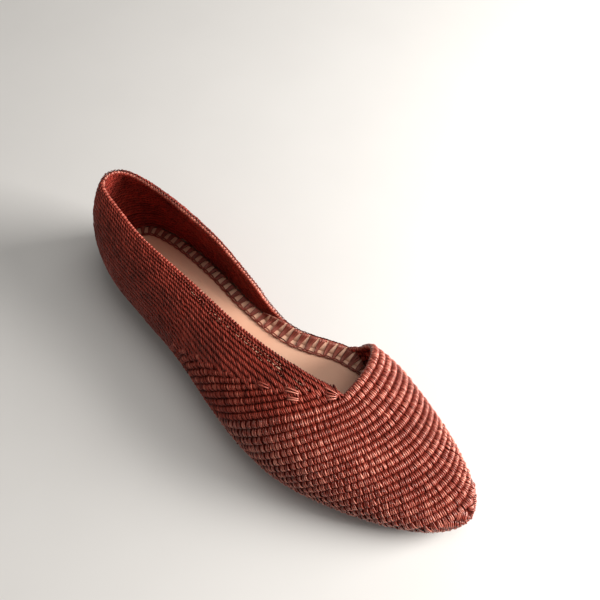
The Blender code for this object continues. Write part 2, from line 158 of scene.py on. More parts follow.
def seam_line(samples: int) -> tuple[Array, Array, Array]:
    """Walk down the seam between the quarter and the vamp.

    Args:
        samples: Number of stops.

    Returns:
        The row, the distance along the shoe and the position across the last at each stop.
    """
    row, y, across = (column(SEAM, SEAM_COLUMNS, name) for name in SEAM_COLUMNS)
    dense = np.linspace(0, row[-1], samples)
    return dense, smooth(row, y, dense), smooth(row, across, dense)


def unit(vectors: Array) -> Array:
    """Scale vectors to length one."""
    return vectors / np.maximum(np.linalg.norm(vectors, axis=-1, keepdims=True), TINY)


def dot(a: Array, b: Array) -> Array:
    """Dot product along the last axis, kept as a column."""
    return (a * b).sum(axis=-1, keepdims=True)


def run_length(points: Array) -> Array:
    """Distance run along a line of points, starting at zero."""
    steps = np.linalg.norm(np.diff(points, axis=0), axis=1)
    return np.concatenate([[0.0], np.cumsum(steps)])


@dataclass
class Last:
    """The form that the shoe is made on, in millimetres."""

    crown_exponent: float = 2.3
    tuck_angle: float = 0.9
    tuck_rate: float = 0.55
    heel_axis_y: float = 7.0
    heel_blend: float = 6.0
    samples: int = 2001
    normal_step_place: float = 0.02
    normal_step_across: float = 0.004
    insole_inset: float = 3.0
    shift: Array = field(default_factory=lambda: np.zeros(3))

    def __post_init__(self) -> None:
        """Read the section table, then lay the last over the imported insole."""
        columns = {name: column(SECTIONS, SECTION_COLUMNS, name) for name in SECTION_COLUMNS}
        self.columns = columns
        self.columns["half"] = (columns["x_lateral"] - columns["x_medial"]) / 2
        self.columns["centre"] = (columns["x_lateral"] + columns["x_medial"]) / 2
        self.top_place = float(len(SECTIONS) - 1)
        self.dense_place = np.linspace(0, self.top_place, self.samples)
        self.dense_y = self.read("y", self.dense_place)
        outline = np.concatenate(self.seat_outline(self.dense_place, self.insole_inset))
        low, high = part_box("insole")
        middle = np.array(low + high)[:2] / MM / 2
        self.shift = np.append(middle - (outline.min(axis=0) + outline.max(axis=0)) / 2, 0.0)

    def read(self, name: str, place: Array, heel_sign: int = 1, toe_sign: int = 1) -> Array:
        """Read a section column at a place, mirrored or turned over at the heel and the toe.

        Args:
            name: Column of the section table.
            place: Position counted in sections from the heel.
            heel_sign: 1 to mirror the column at the heel, -1 to turn it over.
            toe_sign: The same at the toe.

        Returns:
            The column's values.
        """
        values = self.columns[name]
        before = values[1] if heel_sign > 0 else 2 * values[0] - values[1]
        after = values[-2] if toe_sign > 0 else 2 * values[-1] - values[-2]
        padded = np.concatenate([[before], values, [after]])
        return smooth(np.arange(-1.0, len(values) + 1), padded, np.asarray(place, dtype=float))

    def place_of(self, y: Array) -> Array:
        """Turn a distance along the shoe into a place in the section table."""
        return np.interp(y, self.dense_y, self.dense_place)

    def point(self, place: Array, across: Array) -> Array:
        """Point on the last.

        Args:
            place: Position counted in sections from the heel.
            across: +1 at the lateral seat, 0 at the spine, -1 at the medial seat.

        Returns:
            Points in millimetres, in the frame of the last.
        """
        place, across = np.broadcast_arrays(np.asarray(place, float), np.asarray(across, float))
        half = np.maximum(self.read("half", place, -1, -1), 0.0)
        x_edge = self.read("centre", place) + np.where(across >= 0, half, -half)
        x_spine = self.read("x_spine", place)
        z_spine = self.read("z_spine", place, 1, -1)
        z_widest = self.read("z_widest", place)
        y = self.read("y", place)
        reach = (y - self.heel_axis_y) / self.heel_blend
        y_spine = self.heel_axis_y + self.heel_blend / 2 * (reach + np.sqrt(reach * reach + 1))
        angle = np.pi / 2 - np.abs(across) * (np.pi / 2 + self.tuck_angle)
        lean = np.clip(angle, 0.0, np.pi / 2)
        tuck = np.maximum(-angle, 0.0)
        width = np.cos(lean) ** (2 / self.crown_exponent) * np.cos(tuck * self.tuck_rate)
        height = np.sin(lean) ** (2 / self.crown_exponent)
        depth = np.sin(tuck) / np.sin(self.tuck_angle)
        x = x_spine + (x_edge - x_spine) * width
        z = z_widest + (z_spine - z_widest) * height - (z_widest - self.read("z_seat", place)) * depth
        return np.stack([x, y_spine + (y - y_spine) * width, z], axis=-1)

    def normal(self, place: Array, across: Array) -> Array:
        """Unit normal of the last, pointing out of the shoe.

        Args:
            place: Position counted in sections from the heel.
            across: Position across the last, as in point.

        Returns:
            One normal for each position.
        """
        ahead = self.point(np.minimum(place + self.normal_step_place, self.top_place), across)
        behind = self.point(np.maximum(place - self.normal_step_place, 0.0), across)
        out = self.point(place, across + self.normal_step_across)
        back = self.point(place, across - self.normal_step_across)
        return unit(np.cross(out - back, ahead - behind))

    def across_of_angle(self, degrees: Array) -> Array:
        """Turn an angle above the widest line into a position across the last."""
        return (np.pi / 2 - np.radians(degrees)) / (np.pi / 2 + self.tuck_angle)

    def edge_across(self, table: Sequence[Sequence[float]], y: Array) -> Array:
        """Position across the last of the opening's edge at y."""
        known = [column(table, EDGE_COLUMNS, name) for name in EDGE_COLUMNS]
        return self.across_of_angle(smooth(*known, np.asarray(y, dtype=float)))

    def seat_outline(self, place: Array, inset: float) -> tuple[Array, Array]:
        """Lateral and medial edges of the seat, moved inwards.

        Args:
            place: Rising positions from the heel to the toe.
            inset: How far the outline moves in, in millimetres.

        Returns:
            The lateral and the medial edge as (x, y) points.
        """
        lateral = self.point(place, np.ones(len(place)))[:, :2]
        medial = self.point(place, -np.ones(len(place)))[:, :2]
        loop = np.concatenate([lateral, medial[-2:0:-1]])
        tangent = unit(np.roll(loop, -1, axis=0) - np.roll(loop, 1, axis=0))
        moved = loop + np.stack([-tangent[:, 1], tangent[:, 0]], axis=1) * inset
        count = len(place)
        return moved[:count], np.concatenate([moved[:1], moved[:count - 2:-1]])

    def seat_height(self, y: Array) -> Array:
        """Height of the seat at y."""
        return self.read("z_seat", self.place_of(y))

    def to_frame(self, points: Array) -> Array:
        """Move points from the last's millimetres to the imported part's metres."""
        return (points + self.shift) * MM


@dataclass
class Frames:
    """Local axes of stitches: along the row, over to the next row, and out of the shoe."""

    centre: Array
    along: Array
    over: Array
    normal: Array
    pitch: Array


class RowMap:
    """A family of crochet rows laid on the last."""

    row_step = 0.05
    path_step = 0.004
    dense = 900

    def __init__(self, last: Last) -> None:
        """Keep the last that the rows lie on."""
        self.last = last

    def span(self, row: float) -> tuple[float, float]:
        """First and last value of the path along one row."""
        raise NotImplementedError

    def surface(self, row: Array, path: Array) -> tuple[Array, Array]:
        """Place and position across the last of points on rows.

        Args:
            row: Row numbers.
            path: Positions along those rows.

        Returns:
            The places and the positions across the last.
        """
        raise NotImplementedError

    def point(self, row: Array, path: Array) -> Array:
        """Points on rows, in the last's millimetres."""
        return self.last.point(*self.surface(row, path))

    def frames(self, row: Array, path: Array) -> Frames:
        """Local axes at points on rows.

        Args:
            row: Row numbers, with the middle of a row at a half.
            path: Positions along those rows.

        Returns:
            The axes, with the distance from one row to the next as pitch.
        """
        ahead = self.point(row, path + self.path_step)
        along = unit(ahead - self.point(row, path - self.path_step))
        over = self.point(row + self.row_step, path) - self.point(row - self.row_step, path)
        over = (over - dot(over, along) * along) / (2 * self.row_step)
        pitch = np.linalg.norm(over, axis=-1)
        normal = self.last.normal(*self.surface(row, path))
        over = unit(over - dot(over, normal) * normal)
        flat = unit(along - dot(along, normal) * normal)
        return Frames(self.point(row, path), flat, over, normal, pitch)

    def stops(self, row: float, spacing: float, start: float = 0.5) -> tuple[Array, float]:
        """Evenly spaced stops along a row.

        Args:
            row: The row.
            spacing: Wanted distance between stops in millimetres.
            start: Where the first stop lies, as a share of the spacing.

        Returns:
            Path values of the stops, and the distance between them.
        """
        path = np.linspace(*self.span(row), self.dense)
        length = run_length(self.point(np.full(self.dense, row), path))
        count = max(int(round(length[-1] / spacing)), 1)
        at = (np.arange(count) + start) / count * length[-1]
        return np.interp(at, length, path), length[-1] / count


class VampRows(RowMap):
    """Rows over the front of the shoe, from the throat to the toe, seat to seat."""

    count = VAMP[-1][0] - 1

    def value(self, name: str, row: Array) -> Array:
        """Read a vamp column at rows."""
        known = [column(VAMP, VAMP_COLUMNS, key) for key in ("row", name)]
        return smooth(*known, np.clip(row, 0.0, VAMP[-1][0]))

    @staticmethod
    def sweep(t: Array, roundness: Array) -> Array:
        """Share of a lateral sweep at t, from 0 at the apex of a row to 1 at the seat."""
        return (1 + roundness) * t * t / (t + roundness)

    @staticmethod
    def medial_sweep(t: Array) -> Array:
        """Share of a medial sweep at t, which eases into the seat as well."""
        return t * t * (3 - 2 * t)

    def span(self, row: float) -> tuple[float, float]:
        """Each row runs from 0 at the lateral seat over 0.5 at its apex to 1 at the medial seat."""
        return 0.0, 1.0

    def surface(self, row: Array, path: Array) -> tuple[Array, Array]:
        """Place and position across the last of points on rows.

        Args:
            row: Row numbers.
            path: Positions along those rows.

        Returns:
            The places and the positions across the last.
        """
        t = np.clip(np.abs(1 - 2 * path), 0.0, 1.0)
        lateral = path < 0.5
        apex = self.value("apex_across", row)
        across = np.where(lateral, apex + (1 - apex) * t, apex - (1 + apex) * t)
        lateral_y = self.value("lateral_sweep", row) * self.sweep(t, self.value("roundness", row))
        medial_y = self.value("medial_sweep", row) * self.medial_sweep(t)
        y = self.value("y_apex", row) - np.where(lateral, lateral_y, medial_y)
        return self.last.place_of(y), across


class ToeRows(RowMap):
    """Rows that close the tip of the toe, each level round the nose from side to side.

    The path runs from -1 on the lateral side over 0 at the nose to 1 on the medial side.
    """

    count = 4
    overlap = 0.25

    def __init__(self, last: Last) -> None:
        """Keep the vamp rows that these rows end under."""
        super().__init__(last)
        self.vamp = VampRows(last)

    def span(self, row: float) -> tuple[float, float]:
        """Each row runs from -1 to 1."""
        return -1.0, 1.0

    def surface(self, row: Array, path: Array) -> tuple[Array, Array]:
        """Place and position across the last of points on rows.

        Args:
            row: Row numbers.
            path: Positions along those rows.

        Returns:
            The places and the positions across the last.
        """
        down = np.clip(row / self.count, 0.0, 1.0)
        path = np.clip(path, -1.0, 1.0)
        end = np.full(np.shape(down), float(self.vamp.count))
        start, across = self.vamp.surface(end, 0.5 + np.where(path < 0, -0.5, 0.5) * down)
        reach = self.last.top_place - start + self.overlap
        return self.last.top_place - reach * np.abs(path), across


class ShortRows(RowMap):
    """Short vamp rows behind the notch, from the seam to the lateral seat."""

    count = int(EVEN_ROWS + (SEAM[-1][0] - EVEN_ROWS) * FEWER_ROWS)
    seam_samples = 600
    overlap = 0.3

    def __init__(self, last: Last) -> None:
        """Walk down the seam and count the short rows in front of it.

        Args:
            last: The last that the rows lie on.
        """
        super().__init__(last)
        row, self.seam_y, self.seam_across = seam_line(self.seam_samples)
        self.in_front = np.minimum(row, EVEN_ROWS) + np.maximum(row - EVEN_ROWS, 0) * FEWER_ROWS

    def span(self, row: float) -> tuple[float, float]:
        """Each row runs from 0 at the seam to 1 at the seat."""
        return 0.0, 1.0

    def surface(self, row: Array, path: Array) -> tuple[Array, Array]:
        """Place and position across the last of points on rows.

        Args:
            row: Row numbers.
            path: Positions along those rows.

        Returns:
            The places and the positions across the last.
        """
        row = np.clip(row, 0.0, self.count)
        start = np.interp(row - self.overlap, self.in_front, self.seam_across)
        across = start + (1 - start) * np.clip(path, 0.0, 1.0)
        seam_y = np.interp(across, self.seam_across, self.seam_y)
        in_front = np.interp(across, self.seam_across, self.in_front)
        first = dict(zip(VAMP_COLUMNS, VAMP[0]))
        apex = first["apex_across"]
        swept = VampRows.sweep(np.maximum((across - apex) / (1 - apex), 0.0), first["roundness"])
        first_y = first["y_apex"] - first["lateral_sweep"] * swept
        y = first_y + (seam_y - first_y) * row / np.maximum(in_front, TINY)
        return self.last.place_of(y), across


class QuarterRows(RowMap):
    """Rows under the collar, from the seam back round the heel to the medial side.

    The path is the place in the section table, negative on the lateral side.
    """

    courses_per_row = 1.5
    count = int(SEAM[-1][0] * courses_per_row)
    medial_start_y = 22.0
    sill_y = 152.5
    seam_samples = 400
    medial_samples = 160
    height_samples = 25
    least_rows = 0.35
    overlap = 0.5
    crowding = 1.3

    def __init__(self, last: Last) -> None:
        """Work out how many rows fit under the edge all the way round.

        Args:
            last: The last that the rows lie on.
        """
        super().__init__(last)
        row, self.seam_y, self.seam_across = seam_line(self.seam_samples)
        self.seam_rows = row * self.courses_per_row
        self.medial_y = np.linspace(self.medial_start_y, self.sill_y, self.medial_samples)
        top = last.edge_across(MEDIAL_EDGE, self.medial_y)[:, None]
        t = np.linspace(0, 1, self.height_samples)
        wall = last.point(last.place_of(self.medial_y)[:, None], -(top + (1 - top) * t))
        heights = np.linalg.norm(np.diff(wall, axis=1), axis=2).sum(axis=1)
        self.medial_rows = np.maximum(heights / heights[0] * self.count, 1.0)

    def span(self, row: float) -> tuple[float, float]:
        """Path of a row, from the seam to where it runs out on the medial side.

        Args:
            row: The row.

        Returns:
            First and last value of the path.
        """
        start = np.interp(max(row - self.overlap, 0.0), self.seam_rows, self.seam_y)
        end = np.interp(-row, -self.medial_rows, self.medial_y) if row >= 1 else self.sill_y
        return -float(self.last.place_of(start)), float(self.last.place_of(end))

    def surface(self, row: Array, path: Array) -> tuple[Array, Array]:
        """Place and position across the last of points on rows.

        Args:
            row: Row numbers.
            path: Positions along those rows.

        Returns:
            The places and the positions across the last.
        """
        place = np.abs(path)
        y = self.last.read("y", place)
        lateral = path < 0
        top_lateral = self.last.edge_across(LATERAL_EDGE, np.minimum(y, LATERAL_EDGE[-1][0]))
        top_medial = self.last.edge_across(MEDIAL_EDGE, np.minimum(y, MEDIAL_EDGE[-1][0]))
        rows_lateral = np.interp(y, self.seam_y[::-1], self.seam_rows[::-1])
        seam_across = np.interp(rows_lateral, self.seam_rows, self.seam_across)
        rows_medial = np.interp(y, self.medial_y, self.medial_rows)
        top = np.where(lateral, top_lateral, -top_medial)
        bottom = np.where(lateral, seam_across, -1.0)
        rows_here = np.where(lateral, np.maximum(rows_lateral, self.least_rows), rows_medial)
        return place, self.across_at(place, top, bottom, row / rows_here)

    def across_at(self, place: Array, top: Array, bottom: Array, share: Array) -> Array:
        """Position across the last at a share of the way down the wall, measured along its surface.

        Args:
            place: Positions counted in sections from the heel.
            top: Position across of the edge at each place.
            bottom: Position across of the wall's foot at each place.
            share: 0 at the edge and 1 at the foot, or a little beyond them.

        Returns:
            The positions across the last.
        """
        t = np.linspace(0, 1, self.height_samples)
        wall = self.last.point(place[..., None], top[..., None] + (bottom - top)[..., None] * t)
        steps = np.maximum(np.linalg.norm(np.diff(wall, axis=-2), axis=-1), TINY)
        length = np.cumsum(steps, axis=-1) - steps
        wanted = np.sign(share) * np.abs(share) ** self.crowding * steps.sum(axis=-1)
        index = np.maximum((length <= wanted[..., None]).sum(axis=-1) - 1, 0)
        before, step = (np.take_along_axis(values, index[..., None], axis=-1)[..., 0]
                        for values in (length, steps))
        return top + (bottom - top) * (index + (wanted - before) / step) / steps.shape[-1]


@dataclass
class MeshBatch:
    """Many small closed shapes gathered into one joined mesh."""

    last: Last
    points: list[Array] = field(default_factory=list)
    quads: list[Array] = field(default_factory=list)
    tones: list[Array] = field(default_factory=list)
    fibres: list[Array] = field(default_factory=list)
    size: int = 0

    # Section of a flat strand: places across its width, and heights from its top in thicknesses
    STRIP_ACROSS = (-0.5, -0.25, 0.25, 0.5)
    STRIP_DROP = (-1.0, 0.0, 0.0, -1.0)

    # Distance between the fibre coordinates of one strand and the next, so that no two look alike
    FIBRE_STRIDE = 7.31

    # Section of a tube, and the faces that close its end
    TUBE_SIDES = 8
    TUBE_CAP = ((0, 3, 2, 1), (0, 7, 4, 3), (4, 7, 6, 5))

    def add(self, points: Array, quads: Array, tones: Array, fibres: Array) -> None:
        """Add vertices with their faces, tones and fibre coordinates.

        Args:
            points: Vertices in the last's millimetres.
            quads: Faces, as indices into those vertices.
            tones: Lightness of each vertex, about 0 to 1.
            fibres: Distance across and along the strand at each vertex, in millimetres.
        """
        self.points.append(points)
        self.quads.append(quads + self.size)
        self.tones.append(tones)
        self.fibres.append(fibres)
        self.size += len(points)

    def add_strips(self, path: Array, side: Array, up: Array, width: Array, thickness: float,
                   tone: Array) -> None:
        """Add flat strands, each a thin closed strip with a rounded top.

        Args:
            path: Middle of each strand's top, as (strand, stop, xyz).
            side: Direction of the width at each stop.
            up: Direction of the top at each stop.
            width: Width at each stop, as (strand, stop).
            thickness: Thickness of the strand.
            tone: Lightness at each stop, as (strand, stop).
        """
        count, stops = path.shape[:2]
        corner_side = np.array(self.STRIP_ACROSS)
        corner_drop = np.array(self.STRIP_DROP) * thickness
        points = (path[:, :, None] + side[:, :, None] * (width[..., None] * corner_side)[..., None]
                  + up[:, :, None] * corner_drop[:, None])
        index = np.arange(count * stops * 4).reshape(count, stops, 4)
        turned = np.roll(index, -1, axis=2)
        sides = np.stack([index[:, :-1], turned[:, :-1], turned[:, 1:], index[:, 1:]], axis=-1)
        caps = np.stack([index[:, 0, ::-1], index[:, -1]], axis=1)
        quads = np.concatenate([sides.reshape(count, -1, 4), caps], axis=1)
        facing = np.cross(side[:, :-1], np.diff(path, axis=1)) * up[:, :-1]
        wrong = facing.sum(axis=(1, 2)) < 0
        quads[wrong] = quads[wrong][..., ::-1]
        steps = np.diff(path, axis=1, prepend=path[:, :1])
        length = np.cumsum(np.linalg.norm(steps, axis=2), axis=1)
        start = np.arange(count)[:, None, None] * self.FIBRE_STRIDE
        across = (width[..., None] * corner_side) + start
        fibres = np.stack([across, np.broadcast_to(length[..., None], across.shape)], axis=-1)
        tones = np.clip(np.broadcast_to(tone[..., None], across.shape), 0.0, 1.0)
        self.add(points.reshape(-1, 3), quads.reshape(-1, 4), tones.ravel(), fibres.reshape(-1, 2))

    def add_tube(self, path: Array, side: Array, up: Array, half_width: Array, half_height: Array,
                 tone: float) -> None:
        """Add a closed tube.

        Args:
            path: Middle of the tube, as (stop, xyz).
            side: Direction of its width at each stop.
            up: Direction of its height at each stop.
            half_width: Half of its width at each stop.
            half_height: Half of its height at each stop.
            tone: Lightness of the tube.
        """
        sides = self.TUBE_SIDES
        stops = len(path)
        turn = np.arange(sides) * 2 * np.pi / sides
        out = (side[:, None] * (np.cos(turn) * half_width[:, None])[..., None]
               + up[:, None] * (np.sin(turn) * half_height[:, None])[..., None])
        index = np.arange(stops * sides).reshape(stops, sides)
        turned = np.roll(index, -1, axis=1)
        quads = np.stack([index[:-1], turned[:-1], turned[1:], index[1:]], axis=-1).reshape(-1, 4)
        cap = np.array(self.TUBE_CAP)
        quads = np.concatenate([quads, index[0][cap], index[-1][cap[:, ::-1]]])
        facing = np.cross(side[:-1], up[:-1]) * np.diff(path, axis=0)
        if facing.sum() < 0:
            quads = quads[:, ::-1]
        along = np.broadcast_to(run_length(path)[:, None], (stops, sides))
        around = np.broadcast_to(turn, (stops, sides))
        fibres = np.stack([around, along], axis=-1).reshape(-1, 2)
        self.add((path[:, None] + out).reshape(-1, 3), quads, np.full(stops * sides, tone), fibres)

    def add_sheet(self, points: Array, up: Array, thickness: float, tone: float) -> None:
        """Add a thin closed sheet over a grid of points.

        Args:
            points: Top of the sheet, as (line, stop, xyz).
            up: Direction of the top at each point.
            thickness: Thickness of the sheet.
            tone: Lightness of the sheet.
        """
        shape = points.shape[:2]
        top = np.arange(points[..., 0].size).reshape(shape)
        corners = (top[:-1, :-1], top[1:, :-1], top[1:, 1:], top[:-1, 1:])
        faces = np.stack(corners, axis=-1).reshape(-1, 4)
        rim = np.concatenate([top[0], top[1:, -1], top[-1, -2::-1], top[-2:0:-1, 0]])
        sides = np.stack([rim, np.roll(rim, -1), np.roll(rim, -1) + top.size, rim + top.size], axis=-1)
        quads = np.concatenate([faces, faces[:, ::-1] + top.size, sides])
        facing = np.cross(np.gradient(points, axis=0), np.gradient(points, axis=1)) * up
        if facing.sum() < 0:
            quads = quads[:, ::-1]
        across, along = (
            np.cumsum(np.linalg.norm(np.gradient(points, axis=axis), axis=2), axis=axis)
            for axis in (0, 1)
        )
        fibres = np.tile(np.stack([across, along], axis=-1).reshape(-1, 2), (2, 1))
        both = np.concatenate([points.reshape(-1, 3), (points - up * thickness).reshape(-1, 3)])
        self.add(both, quads, np.full(len(both), tone), fibres)

    def build(self, name: str, material: bpy.types.Material) -> bpy.types.Object:
        """Make the joined mesh.

        Args:
            name: Name of the piece.
            material: Its finish.

        Returns:
            The new object.
        """
        points = self.last.to_frame(np.concatenate(self.points)).astype(np.float32)
        quads = np.concatenate(self.quads).astype(np.int32)
        mesh = bpy.data.meshes.new(name)
        mesh.vertices.add(len(points))
        mesh.vertices.foreach_set("co", points.ravel())
        mesh.loops.add(quads.size)
        mesh.loops.foreach_set("vertex_index", quads.ravel())
        mesh.polygons.add(len(quads))
        mesh.polygons.foreach_set("loop_start", np.arange(0, quads.size, 4, dtype=np.int32))
        mesh.update(calc_edges=True)
        tone = mesh.attributes.new("tone", "FLOAT", "POINT")
        tone.data.foreach_set("value", np.concatenate(self.tones).astype(np.float32))
        fibre = mesh.uv_layers.new(name="fibre")
        coordinates = np.concatenate(self.fibres).astype(np.float32)[quads.ravel()]
        fibre.data.foreach_set("uv", coordinates.ravel())
        mesh.shade_smooth()
        mesh.materials.append(material)
        piece = bpy.data.objects.new(name, mesh)
        bpy.context.scene.collection.objects.link(piece)
        log.info("%s: %d faces", name, len(quads))
        return piece


class NodeGraph:
    """A node tree that is filled step by step."""

    def __init__(self, tree: bpy.types.NodeTree) -> None:
        """Keep the tree."""
        self.tree = tree

    def feed(self, socket: Socket, value: Socket | float | Sequence[float]) -> None:
        """Link an input to another node's output, or set it.

        Args:
            socket: The input.
            value: An output socket, a number or a list of numbers.
        """
        if isinstance(value, bpy.types.NodeSocket):
            self.tree.links.new(value, socket)
        else:
            socket.default_value = value

    def add(self, kind: str, inputs: dict | None = None, **settings: object) -> bpy.types.Node:
        """Add a node, set its properties, and set or link its inputs.

        Args:
            kind: Identifier of the node type.
            inputs: Input names or numbers, with a value or another node's output socket.
            settings: Properties of the node.

        Returns:
            The new node.
        """
        node = self.tree.nodes.new(kind)
        for name, value in settings.items():
            setattr(node, name, value)
        for key, value in (inputs or {}).items():
            self.feed(node.inputs[key], value)
        return node

    def math(self, operation: str, *values: Socket | float, clamp: bool = False) -> Socket:
        """Add a Math node.

        Args:
            operation: Identifier of the operation.
            values: Numbers or sockets to work on.
            clamp: Whether the result is kept between 0 and 1.

        Returns:
            The node's output.
        """
        node = self.add("ShaderNodeMath", dict(enumerate(values)), operation=operation)
        node.use_clamp = clamp
        return node.outputs[0]

    def mix(self, share: Socket, low: Socket | Colour, high: Socket | Colour) -> Socket:
        """Add a colour Mix node.

        Args:
            share: 0 for the first colour and 1 for the second.
            low: The first colour.
            high: The second colour.

        Returns:
            The node's output.
        """
        node = self.add("ShaderNodeMix", data_type="RGBA")
        colours = [socket for socket in node.inputs if socket.type == "RGBA"]
        for socket, value in zip([node.inputs[0], *colours], (share, low, high)):
            self.feed(socket, value)
        return next(socket for socket in node.outputs if socket.type == "RGBA")

    def noise(self, vector: Socket, scale: Socket | float, detail: float = 2.0,
              roughness: float = 0.5) -> Socket:
        """Add a Noise Texture.

        Args:
            vector: Coordinates to read.
            scale: How many patches there are to a unit.
            detail: How many finer layers are added.
            roughness: How strong the finer layers are.

        Returns:
            The node's value.
        """
        inputs = {"Vector": vector, "Scale": scale, "Detail": detail, "Roughness": roughness}
        return self.add("ShaderNodeTexNoise", inputs).outputs[0]

    def link_surface(self, shader: bpy.types.Node, source: bpy.types.Node, bump: float,
                     depth: float) -> None:
        """Link a group's colour, roughness and height to a shader.

        Args:
            shader: The shader.
            source: The group node.
            bump: Strength of the relief.
            depth: Depth of the relief in metres.
        """
        inputs = {"Strength": bump, "Distance": depth, "Height": source.outputs["Height"]}
        relief = self.add("ShaderNodeBump", inputs)
        self.feed(shader.inputs["Base Color"], source.outputs["Color"])
        self.feed(shader.inputs["Roughness"], source.outputs["Roughness"])
        self.feed(shader.inputs["Normal"], relief.outputs[0])


def new_group(name: str, inputs: dict[str, str],
              outputs: dict[str, str]) -> tuple[NodeGraph, dict, bpy.types.Node]:
    """Start a shader node group.

    Args:
        name: Name of the group.
        inputs: Names of its inputs, with their kind: Vector, Float or Color.
        outputs: The same for its outputs.

    Returns:
        The graph to fill, the input sockets by name, and the output node.
    """
    tree = bpy.data.node_groups.new(name, "ShaderNodeTree")
    for names, direction in ((inputs, "INPUT"), (outputs, "OUTPUT")):
        for key, kind in names.items():
            tree.interface.new_socket(key, in_out=direction, socket_type=f"NodeSocket{kind}")
    graph = NodeGraph(tree)
    source = graph.add("NodeGroupInput")
    return graph, {key: source.outputs[key] for key in inputs}, graph.add("NodeGroupOutput")


# Raffia: stretch of the fibre coordinates, how far streaks and patches move the tone, and the polish
STREAK_STRETCH = (4.5, 0.45, 1.0)
STREAK_DETAIL = 3.0
STREAK_ROUGHNESS = 0.6
STREAK_GAIN = 0.7
PATCH_SCALE = 55.0
PATCH_GAIN = 0.5
STRAND_ROUGHNESS = 0.24
STRAND_ROUGHNESS_SPREAD = 0.25

# Leather and rubber: how far stains and fine grain move the colour, the polish, and the relief
STAIN_GAIN = 2.2
STAIN_START = -0.7
FINE_GAIN = 0.2
GRAIN_DETAIL = 4.0
STAIN_ROUGHNESS = 0.6
SHEET_ROUGHNESS = 0.42
SHEET_ROUGHNESS_SPREAD = 0.2
CELL_RELIEF = 0.6
FINE_RELIEF = 0.5


def raffia_group() -> bpy.types.NodeTree:
    """Fibre streaks along a strand, with the tone it is given and slow patches over the shoe; on the
    upper that tone carries painted light and shade as well as random mottle.

    Returns:
        The group, which puts out a colour, a roughness and a height.
    """
    inputs = {"Fibre": "Vector", "Place": "Vector", "Tone": "Float",
              "Dark": "Color", "Mid": "Color", "Light": "Color"}
    outputs = {"Color": "Color", "Roughness": "Float", "Height": "Float"}
    graph, given, result = new_group("raffia_strand", inputs, outputs)
    stretched = graph.add("ShaderNodeVectorMath", {0: given["Fibre"], 1: STREAK_STRETCH},
                          operation="MULTIPLY").outputs[0]
    streak = graph.noise(stretched, 1.0, STREAK_DETAIL, STREAK_ROUGHNESS)
    patch = graph.noise(given["Place"], PATCH_SCALE)
    tone = graph.math("SUBTRACT", given["Tone"], STREAK_GAIN / 2)
    shade = graph.math("MULTIPLY_ADD", streak, STREAK_GAIN, tone)
    shade = graph.math("ADD", shade, graph.math("MULTIPLY_ADD", patch, PATCH_GAIN, -PATCH_GAIN / 2))
    low = graph.math("MULTIPLY", shade, 2.0, clamp=True)
    high = graph.math("MULTIPLY_ADD", shade, 2.0, -1.0, clamp=True)
    colour = graph.mix(high, graph.mix(low, given["Dark"], given["Mid"]), given["Light"])
    rough = graph.math("MULTIPLY_ADD", streak, STRAND_ROUGHNESS_SPREAD, STRAND_ROUGHNESS)
    for key, socket in zip(outputs, (colour, rough, streak)):
        graph.tree.links.new(socket, result.inputs[key])
    return graph.tree


def grain_group() -> bpy.types.NodeTree:
    """Fine pebble grain with slow stains, for leather and rubber.

    Returns:
        The group, which puts out a colour, a roughness and a height.
    """
    inputs = {"Place": "Vector", "Grain": "Float", "Stain": "Float", "Base": "Color", "Worn": "Color"}
    outputs = {"Color": "Color", "Roughness": "Float", "Height": "Float"}
    graph, given, result = new_group("pebble_grain", inputs, outputs)
    cells = graph.add("ShaderNodeTexVoronoi", {"Vector": given["Place"], "Scale": given["Grain"]},
                      feature="SMOOTH_F1").outputs["Distance"]
    fine = graph.noise(given["Place"], given["Grain"], GRAIN_DETAIL)
    stain = graph.noise(given["Place"], given["Stain"], GRAIN_DETAIL, STAIN_ROUGHNESS)
    share = graph.math("MULTIPLY_ADD", stain, STAIN_GAIN, STAIN_START, clamp=True)
    share = graph.math("MULTIPLY_ADD", fine, FINE_GAIN, share, clamp=True)
    colour = graph.mix(share, given["Base"], given["Worn"])
    rough = graph.math("MULTIPLY_ADD", stain, SHEET_ROUGHNESS_SPREAD, SHEET_ROUGHNESS)
    fine_height = graph.math("MULTIPLY", fine, FINE_RELIEF)
    height = graph.math("MULTIPLY_ADD", cells, CELL_RELIEF, fine_height)
    for key, socket in zip(outputs, (colour, rough, height)):
        graph.tree.links.new(socket, result.inputs[key])
    return graph.tree


def new_material(name: str) -> tuple[bpy.types.Material, NodeGraph, bpy.types.Node]:
    """Make a material.

    Args:
        name: Its name.

    Returns:
        The material, its graph, and its Principled BSDF.
    """
    material = bpy.data.materials.new(name)
    material.use_nodes = True
    return material, NodeGraph(material.node_tree), material.node_tree.nodes["Principled BSDF"]


